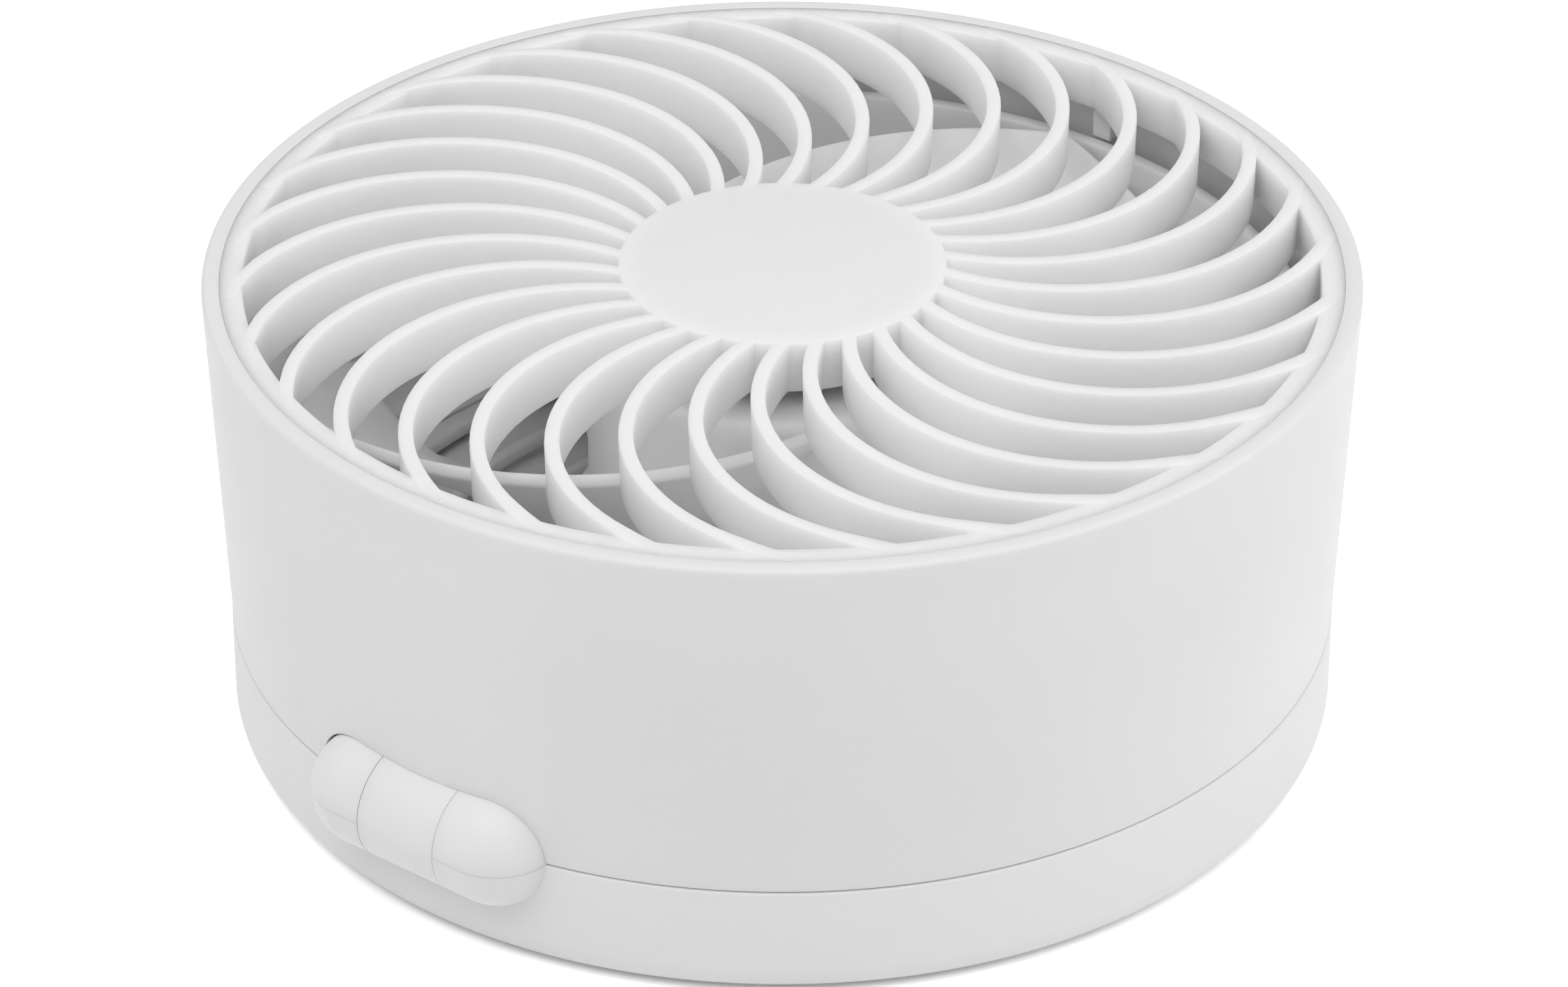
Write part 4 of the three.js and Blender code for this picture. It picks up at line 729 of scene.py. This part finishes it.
def make_guard():
    rim_inner = GUARD_RADIUS - GUARD_RIM_WIDTH

    def hoop(inner, outer):
        return spun([(inner, GUARD_BOTTOM, GUARD_ROUND), (outer, GUARD_BOTTOM, GUARD_ROUND),
                     (outer, GUARD_TOP, GUARD_ROUND), (inner, GUARD_TOP, GUARD_ROUND)])

    hub = spun([(0, GUARD_BOTTOM), (GUARD_HUB_RADIUS, GUARD_BOTTOM, GUARD_HUB_ROUND),
                (GUARD_HUB_RADIUS, GUARD_TOP, GUARD_HUB_ROUND), (0, GUARD_TOP)])
    pitch = (rim_inner - GUARD_HUB_RADIUS + GUARD_RING_WIDTH) / (GUARD_RING_COUNT + 1)
    hoops = [hoop(rim_inner, GUARD_RADIUS)]
    for i in range(GUARD_RING_COUNT):
        outer = GUARD_HUB_RADIUS + pitch * (i + 1)
        hoops.append(hoop(outer - GUARD_RING_WIDTH, outer))
    spoke_from = GUARD_HUB_RADIUS - GUARD_SPOKE_BITE
    spoke_to = rim_inner + GUARD_SPOKE_BITE
    thickness = GUARD_TOP - GUARD_BOTTOM - GUARD_SPOKE_THINNER
    spokes = [box(spoke_to - spoke_from, GUARD_SPOKE_WIDTH, thickness, (spoke_from + spoke_to) / 2, 0,
                  (GUARD_TOP + GUARD_BOTTOM) / 2, GUARD_ROUND, turn=angle)
              for angle in around(GUARD_SPOKE_COUNT, GUARD_SPOKE_ANGLE)]
    seats = [rod(GUARD_SEAT_RADIUS, polar(GUARD_SCREW_CIRCLE, angle, GUARD_BOTTOM - OVERSHOOT),
                 polar(GUARD_SCREW_CIRCLE, angle, GUARD_BOTTOM + HEAD_HEIGHT))
             for angle in around(GUARD_SCREW_COUNT, GUARD_SCREW_ANGLE)]
    return combined(gather(hub, *hoops), [(JOIN, gather(*spokes)), (CUT, gather(*seats))])


# ---------------------------------------------------------------- impeller
def arc_azimuth(radius, arc):
    """Azimuth where a blade edge's arc crosses the circle of this radius about the fan's axis."""
    cosine = (arc["centre"] ** 2 + radius ** 2 - arc["radius"] ** 2) / (2 * arc["centre"] * radius)
    return arc["azimuth"] + math.degrees(math.acos(cosine))


def blade_point(radius, chord):
    """Point on a blade's middle surface; chord runs from the trailing to the leading edge."""
    trail = arc_azimuth(radius, TRAIL_ARC)
    lead = arc_azimuth(radius, LEAD_ARC)
    blade_top = TOP - BLADE_TOP_DROP
    height = blade_top + (BLADE_BOTTOM - blade_top) * chord
    return polar(radius, trail + (lead - trail) * chord, height)


def make_blade():
    root = HUB_RADIUS - HUB_WALL / 2
    span_nudge, chord_nudge = 0.01, 0.001
    bm = bmesh.new()
    bmesh.ops.create_grid(bm, x_segments=BLADE_SPAN_STEPS, y_segments=BLADE_CHORD_STEPS, size=0.5)
    for vert in bm.verts:
        radius = root + (vert.co.x + 0.5) * (BLADE_TIP_RADIUS - root)
        chord = vert.co.y + 0.5
        here = blade_point(radius, chord)
        along = blade_point(radius + span_nudge, chord) - here
        across = blade_point(radius, chord + chord_nudge) - here
        normal = along.cross(across).normalized()
        vert.co = here + normal * BLADE_THICKNESS / 2
    bm.normal_update()
    bmesh.ops.recalc_face_normals(bm, faces=bm.faces)
    bmesh.ops.solidify(bm, geom=list(bm.faces), thickness=BLADE_THICKNESS)
    bmesh.ops.recalc_face_normals(bm, faces=bm.faces)
    rims = [e for e in bm.edges if e.is_manifold and e.calc_face_angle(0) > BLADE_EDGE_ANGLE]
    bmesh.ops.bevel(bm, geom=rims, offset=BLADE_ROUND, offset_type="OFFSET", segments=3,
                    profile=0.5, affect="EDGES", material=-1, clamp_overlap=True)
    return closed(bm)


def make_impeller():
    inner = HUB_RADIUS - HUB_WALL
    under = HUB_TOP - HUB_TOP_THICKNESS
    hub = spun([
        (0, under), (inner, under, HUB_FILLET), (inner, BLADE_BOTTOM, HUB_FOOT_INNER_ROUND),
        (HUB_RADIUS, BLADE_BOTTOM, HUB_FOOT_ROUND), (HUB_RADIUS, HUB_TOP, HUB_ROUND), (0, HUB_TOP),
    ])
    blade = make_blade()
    blades = [turned_copy(blade, angle) for angle in around(BLADE_COUNT)]
    blade.free()
    return combined(hub, [(JOIN, gather(*blades))])


# ---------------------------------------------------------------- base
def base_edge():
    """Rounded lower edge of the base: a quarter of an ellipse."""
    points = []
    for k in range(BASE_EDGE_STEPS + 1):
        angle = math.radians(90 * k / BASE_EDGE_STEPS)
        points.append((BASE_RADIUS - BASE_EDGE_WIDTH * (1 - math.sin(angle)),
                       PAD_PROUD + BASE_EDGE_HEIGHT * (1 - math.cos(angle))))
    return points


def hinge_rooms():
    """Cuts for the middle knuckle, the pin and the friction washers."""
    face = MIDDLE_HALF + KNUCKLE_SLIT / 2
    washer = face + WASHER_BORE_DEPTH
    return [(CUT, hinge_rod(KNUCKLE_RADIUS + MIDDLE_ROOM, -face, face)),
            (CUT, hinge_rod(PIN_BORE_RADIUS, -PIN_BORE_HALF, PIN_BORE_HALF)),
            (CUT, hinge_rod(WASHER_BORE_RADIUS, -washer, washer))]


def side_bar(radius, x):
    """Round bar that cuts a hole through the base's wall."""
    wall_y = BASE_RADIUS - BASE_WALL / 2
    return rod(radius, (x, wall_y - HOLE_REACH, BUTTON_HEIGHT), (x, wall_y + HOLE_REACH, BUTTON_HEIGHT))


def make_base_shell():
    inner = BASE_RADIUS - BASE_WALL
    floor_top = PAD_PROUD + BASE_FLOOR
    seat = PAD_TOP + PAD_GAP
    ledge_top = SEAM_HEIGHT - DECK_DROP - DECK_THICKNESS - DECK_GAP
    tray = spun([
        (0, seat), (PAD_RADIUS + PAD_GAP, seat), (PAD_RADIUS + PAD_GAP, PAD_PROUD),
        *base_edge(), (BASE_RADIUS, SEAM_HEIGHT, BASE_ROUND), (inner, SEAM_HEIGHT, BASE_RIM_ROUND),
        (inner, ledge_top), (inner - LEDGE_WIDTH, ledge_top),
        (inner, ledge_top - 2 * LEDGE_WIDTH), (inner, floor_top, BASE_FILLET), (0, floor_top),
    ], SHELL_STEPS)
    deck_outer = inner - DECK_GAP
    lower = combined(hinge_capsule(KNUCKLE_RADIUS), [
        (CUT, box(FAR, FAR, FAR, 0, 0, SEAM_HEIGHT + FAR / 2)),
        (CUT, spun([(0, ledge_top), (deck_outer + DECK_GAP, ledge_top), (deck_outer + DECK_GAP, FAR),
                    (0, FAR)], SHELL_STEPS)),
    ])
    wall_y = BASE_RADIUS - BASE_WALL / 2
    socket_z = (low("charge_socket", 2) + high("charge_socket", 2)) / 2
    socket_hole = rounded_slot(SOCKET_WIDTH + 2 * SOCKET_GAP, SOCKET_HEIGHT + 2 * SOCKET_GAP,
                               SOCKET_X, socket_z, wall_y - HOLE_REACH, wall_y + HOLE_REACH)
    button_seat = box(BUTTON_SEAT_WIDTH, BUTTON_SEAT_DEPTH, BUTTON_SEAT_WIDTH,
                      0, flange_face() - BUTTON_SEAT_DEPTH / 2, BUTTON_HEIGHT)
    return combined(tray, [
        (JOIN, lower), *hinge_rooms(),
        (CUT, side_bar(BUTTON_RADIUS + BUTTON_GAP, 0)), (CUT, button_seat),
        (CUT, side_bar(LIGHT_RADIUS + LIGHT_GAP, LIGHT_X)), (CUT, socket_hole),
    ])


def flange_face():
    """Where the base's inner wall is as far out as the button's flange is wide."""
    return math.sqrt((BASE_RADIUS - BASE_WALL) ** 2 - BUTTON_FLANGE_RADIUS ** 2)


def rounded_slot(width, height, x, z, from_y, to_y):
    """Bar with fully rounded sides along Y, the shape of a charging plug."""
    flat = 0.01
    radius = height / 2 - flat
    bm = bmesh.new()
    bmesh.ops.create_cube(bm, size=1)
    bmesh.ops.scale(bm, vec=(width, to_y - from_y, height), verts=bm.verts)
    along = [e for e in bm.edges if abs((e.verts[0].co - e.verts[1].co).y) > flat]
    bmesh.ops.bevel(bm, geom=along, offset=radius, offset_type="OFFSET", segments=10,
                    profile=0.5, affect="EDGES", material=-1)
    bmesh.ops.translate(bm, vec=(x, (from_y + to_y) / 2, z), verts=bm.verts)
    return bm


def make_deck():
    deck_outer = BASE_RADIUS - BASE_WALL - DECK_GAP
    deck_top = SEAM_HEIGHT - DECK_DROP
    deck_low = deck_top - DECK_THICKNESS
    split = SEAM_HEIGHT + SPLIT_GAP
    plate = spun([(0, deck_low), (deck_outer, deck_low, DECK_FOOT_ROUND),
                  (deck_outer, deck_top, DECK_ROUND), (0, deck_top)], SHELL_STEPS)
    rest = combined(box(FAR, FAR, FAR, 0, 0, split - FAR / 2), [
        (CUT, spun([(0, -FAR), (deck_outer, -FAR), (deck_outer, FAR), (0, FAR)], SHELL_STEPS)),
    ])
    upper = combined(hinge_capsule(KNUCKLE_RADIUS), [
        (CUT, box(FAR, FAR, FAR, 0, 0, deck_low + DECK_KNUCKLE_BITE - FAR / 2)),
        (CUT, rest),
    ])
    return combined(plate, [(JOIN, upper), *hinge_rooms()])


# ---------------------------------------------------------------- small pieces
def make_button():
    front = BASE_RADIUS + BUTTON_PROUD
    back = flange_face() - BUTTON_FLANGE_GAP
    cap_back = back - BUTTON_FLANGE_THICKNESS + BUTTON_CAP_BITE
    cap = rod(BUTTON_RADIUS, (0, cap_back, BUTTON_HEIGHT), (0, front, BUTTON_HEIGHT), BUTTON_ROUND)
    flange = rod(BUTTON_FLANGE_RADIUS, (0, back - BUTTON_FLANGE_THICKNESS, BUTTON_HEIGHT),
                 (0, back, BUTTON_HEIGHT))
    return combined(cap, [(JOIN, flange)])


def make_socket():
    back, front = low("charge_socket", 1), high("charge_socket", 1)
    z = (low("charge_socket", 2) + high("charge_socket", 2)) / 2
    shell = rounded_slot(SOCKET_WIDTH, SOCKET_HEIGHT, SOCKET_X, z, back, front)
    mouth = rounded_slot(SOCKET_WIDTH - 2 * SOCKET_WALL, SOCKET_HEIGHT - 2 * SOCKET_WALL,
                         SOCKET_X, z, back + SOCKET_BACK_WALL, front + OVERSHOOT)
    tongue_back, tongue_front = back + TONGUE_BITE, front - TONGUE_RECESS
    tongue = box(TONGUE_WIDTH, tongue_front - tongue_back, TONGUE_THICKNESS,
                 SOCKET_X, (tongue_back + tongue_front) / 2, z, TONGUE_ROUND)
    return combined(shell, [(CUT, mouth), (JOIN, tongue)])


def make_light():
    back, front = low("light_guide", 1), high("light_guide", 1)
    return rod(LIGHT_RADIUS, (LIGHT_X, back, BUTTON_HEIGHT), (LIGHT_X, front, BUTTON_HEIGHT),
               LIGHT_ROUND)


def make_pad():
    return spun([(0, 0), (PAD_RADIUS, 0, PAD_ROUND), (PAD_RADIUS, PAD_TOP), (0, PAD_TOP)])


def make_screw(node):
    """Pan-head screw with a cross recess, its head down."""
    lowest, highest = low(node, 2), high(node, 2)
    x = (low(node, 0) + high(node, 0)) / 2
    y = (low(node, 1) + high(node, 1)) / 2
    head_top = lowest + HEAD_HEIGHT
    head = rod(HEAD_RADIUS, (x, y, lowest), (x, y, head_top), HEAD_ROUND, HEAD_STEPS)
    shank = rod(SHANK_RADIUS, (x, y, head_top - SHANK_BITE), (x, y, highest), SHANK_ROUND, SHANK_STEPS)
    recess = combined(box(CROSS_LENGTH, CROSS_WIDTH, 2 * CROSS_DEPTH, x, y, lowest),
                      [(JOIN, box(CROSS_WIDTH, CROSS_LENGTH, 2 * CROSS_DEPTH, x, y, lowest))])
    return combined(head, [(JOIN, shank), (CUT, recess)])


# ---------------------------------------------------------------- the fan
finish_piece(make_drum(), "drum_wall", "head", "shell_white", ["drum_shell"])
finish_piece(make_grille(), "swirl_grille", "head", "grille_white", ["front_grille"])
finish_piece(make_duct(), "duct_and_motor_plate", "head", "duct_white", ["duct_frame"])
finish_piece(make_guard(), "intake_guard", "head", "duct_white", ["rear_guard"])
finish_piece(make_impeller(), "swept_impeller", "rotor", "impeller_white", ["impeller"])
finish_piece(make_base_shell(), "base_tray", "base", "shell_white", ["base_shell"])
finish_piece(make_deck(), "deck_plate", "base", "shell_white", ["deck_cover"])
finish_piece(make_pad(), "rubber_pad", "base", "rubber_grey", ["anti_slip_pad"])
finish_piece(make_button(), "button_cap", "button", "button_white", ["power_button"])
finish_piece(make_socket(), "socket_shell", "base", "steel_bright", ["charge_socket"])
finish_piece(make_light(), "light_window", "base", "light_clear", ["light_guide"])
for kind, count in (("duct", 4), ("guard", 3)):
    for index in range(1, count + 1):
        cad_name = f"{kind}_screw_{index}"
        finish_piece(make_screw(cad_name), f"{kind}_pan_screw_{index}", "head", "screw_zinc", [cad_name])

# the hidden pieces keep their CAD shape and get their own finishes
for row in frame["record"]["subparts"]:
    node = frame["nodes"][row["node"]]
    node.data.materials.clear()
    node.data.materials.append(FINISHES[row["material_slot"]])


# ---------------------------------------------------------------- floor, light, camera
FLOOR_LIT = 0.85     # what the floor gives back to the fan
FLOOR_SEEN = 1.7     # what the camera sees of it: white, and grey in the shadow
FLOOR_REACH = 0.9    # the floor ends where its light would fade; the white sky goes on from there
SKY_LIGHT = 0.37
SKY_SEEN = 1
LAMP_DISTANCE = 1.6
LAMP_SIZE = 1.2
CAMERA_AZIMUTH = -51.56
CAMERA_DISTANCE = 0.9444
CAMERA_ELEVATION = 29.36
CAMERA_PITCH = 31.27
CAMERA_PAN = -0.017
CAMERA_LENS = 157.17
CAMERA_SENSOR = 36


def floor_material():
    """Pale floor, shown to the camera as white wherever no shadow falls on it."""
    material = bpy.data.materials.new("floor")
    material.use_nodes = True
    tree = material.node_tree
    tree.nodes.clear()
    out = tree.nodes.new("ShaderNodeOutputMaterial")
    lit = tree.nodes.new("ShaderNodeBsdfDiffuse")
    lit.inputs["Color"].default_value = (FLOOR_LIT, FLOOR_LIT, FLOOR_LIT, 1)
    seen = tree.nodes.new("ShaderNodeBsdfDiffuse")
    seen.inputs["Color"].default_value = (FLOOR_SEEN, FLOOR_SEEN, FLOOR_SEEN, 1)
    path = tree.nodes.new("ShaderNodeLightPath")
    either = tree.nodes.new("ShaderNodeMath")
    either.operation = "MAXIMUM"
    mix = tree.nodes.new("ShaderNodeMixShader")
    tree.links.new(path.outputs["Is Camera Ray"], either.inputs[0])
    tree.links.new(path.outputs["Is Glossy Ray"], either.inputs[1])
    tree.links.new(either.outputs[0], mix.inputs["Fac"])
    tree.links.new(lit.outputs[0], mix.inputs[1])
    tree.links.new(seen.outputs[0], mix.inputs[2])
    tree.links.new(mix.outputs[0], out.inputs["Surface"])
    return material


floor_mesh = bmesh.new()
bmesh.ops.create_grid(floor_mesh, x_segments=1, y_segments=1, size=FLOOR_REACH)
floor = as_object(floor_mesh, "floor")
floor.data.materials.append(floor_material())


def area_light(name, azimuth, elevation, power):
    """Soft square lamp, aimed at the fan; the azimuth is seen from above, from +X."""
    data = bpy.data.lights.new(name, "AREA")
    data.shape = "SQUARE"
    data.size = LAMP_SIZE
    data.energy = power
    lamp = bpy.data.objects.new(name, data)
    height = LAMP_DISTANCE * math.sin(math.radians(elevation))
    place = polar(LAMP_DISTANCE * math.cos(math.radians(elevation)), azimuth, height)
    lamp.location = place
    lamp.rotation_euler = (-place).to_track_quat("-Z", "Y").to_euler()
    scene.collection.objects.link(lamp)


area_light("lamp_front_high", CAMERA_AZIMUTH, 60, 7)
area_light("lamp_left_high", CAMERA_AZIMUTH - 60, 60, 6)
area_light("lamp_right_high", CAMERA_AZIMUTH + 60, 60, 2.9)
area_light("lamp_left_low", CAMERA_AZIMUTH - 90, 20, 2.2)
area_light("lamp_right_low", CAMERA_AZIMUTH + 90, 20, 7.4)
area_light("lamp_back", CAMERA_AZIMUTH + 180, 30, 1.4)

world = bpy.data.worlds.new("studio")
scene.world = world
world.use_nodes = True
sky = world.node_tree.nodes["Background"]
sky.inputs["Color"].default_value = (1, 1, 1, 1)
sky.inputs["Strength"].default_value = SKY_LIGHT
white_sky = world.node_tree.nodes.new("ShaderNodeBackground")
white_sky.inputs["Strength"].default_value = SKY_SEEN
sky_path = world.node_tree.nodes.new("ShaderNodeLightPath")
sky_mix = world.node_tree.nodes.new("ShaderNodeMixShader")
sky_link = world.node_tree.links.new
sky_link(sky_path.outputs["Is Camera Ray"], sky_mix.inputs["Fac"])
sky_link(sky.outputs[0], sky_mix.inputs[1])
sky_link(white_sky.outputs[0], sky_mix.inputs[2])
sky_link(sky_mix.outputs[0], world.node_tree.nodes["World Output"].inputs["Surface"])

camera = bpy.data.objects.new("camera", bpy.data.cameras.new("camera"))
reach = CAMERA_DISTANCE * math.cos(math.radians(CAMERA_ELEVATION))
camera.location = polar(reach, CAMERA_AZIMUTH,
                        TOP * MM + CAMERA_DISTANCE * math.sin(math.radians(CAMERA_ELEVATION)))
camera.rotation_euler = (math.radians(90 - CAMERA_PITCH), 0,
                         math.radians(CAMERA_AZIMUTH + 90 + CAMERA_PAN))
camera.data.lens = CAMERA_LENS
camera.data.sensor_width = CAMERA_SENSOR
scene.collection.objects.link(camera)
scene.camera = camera

scene.view_settings.view_transform = "Standard"
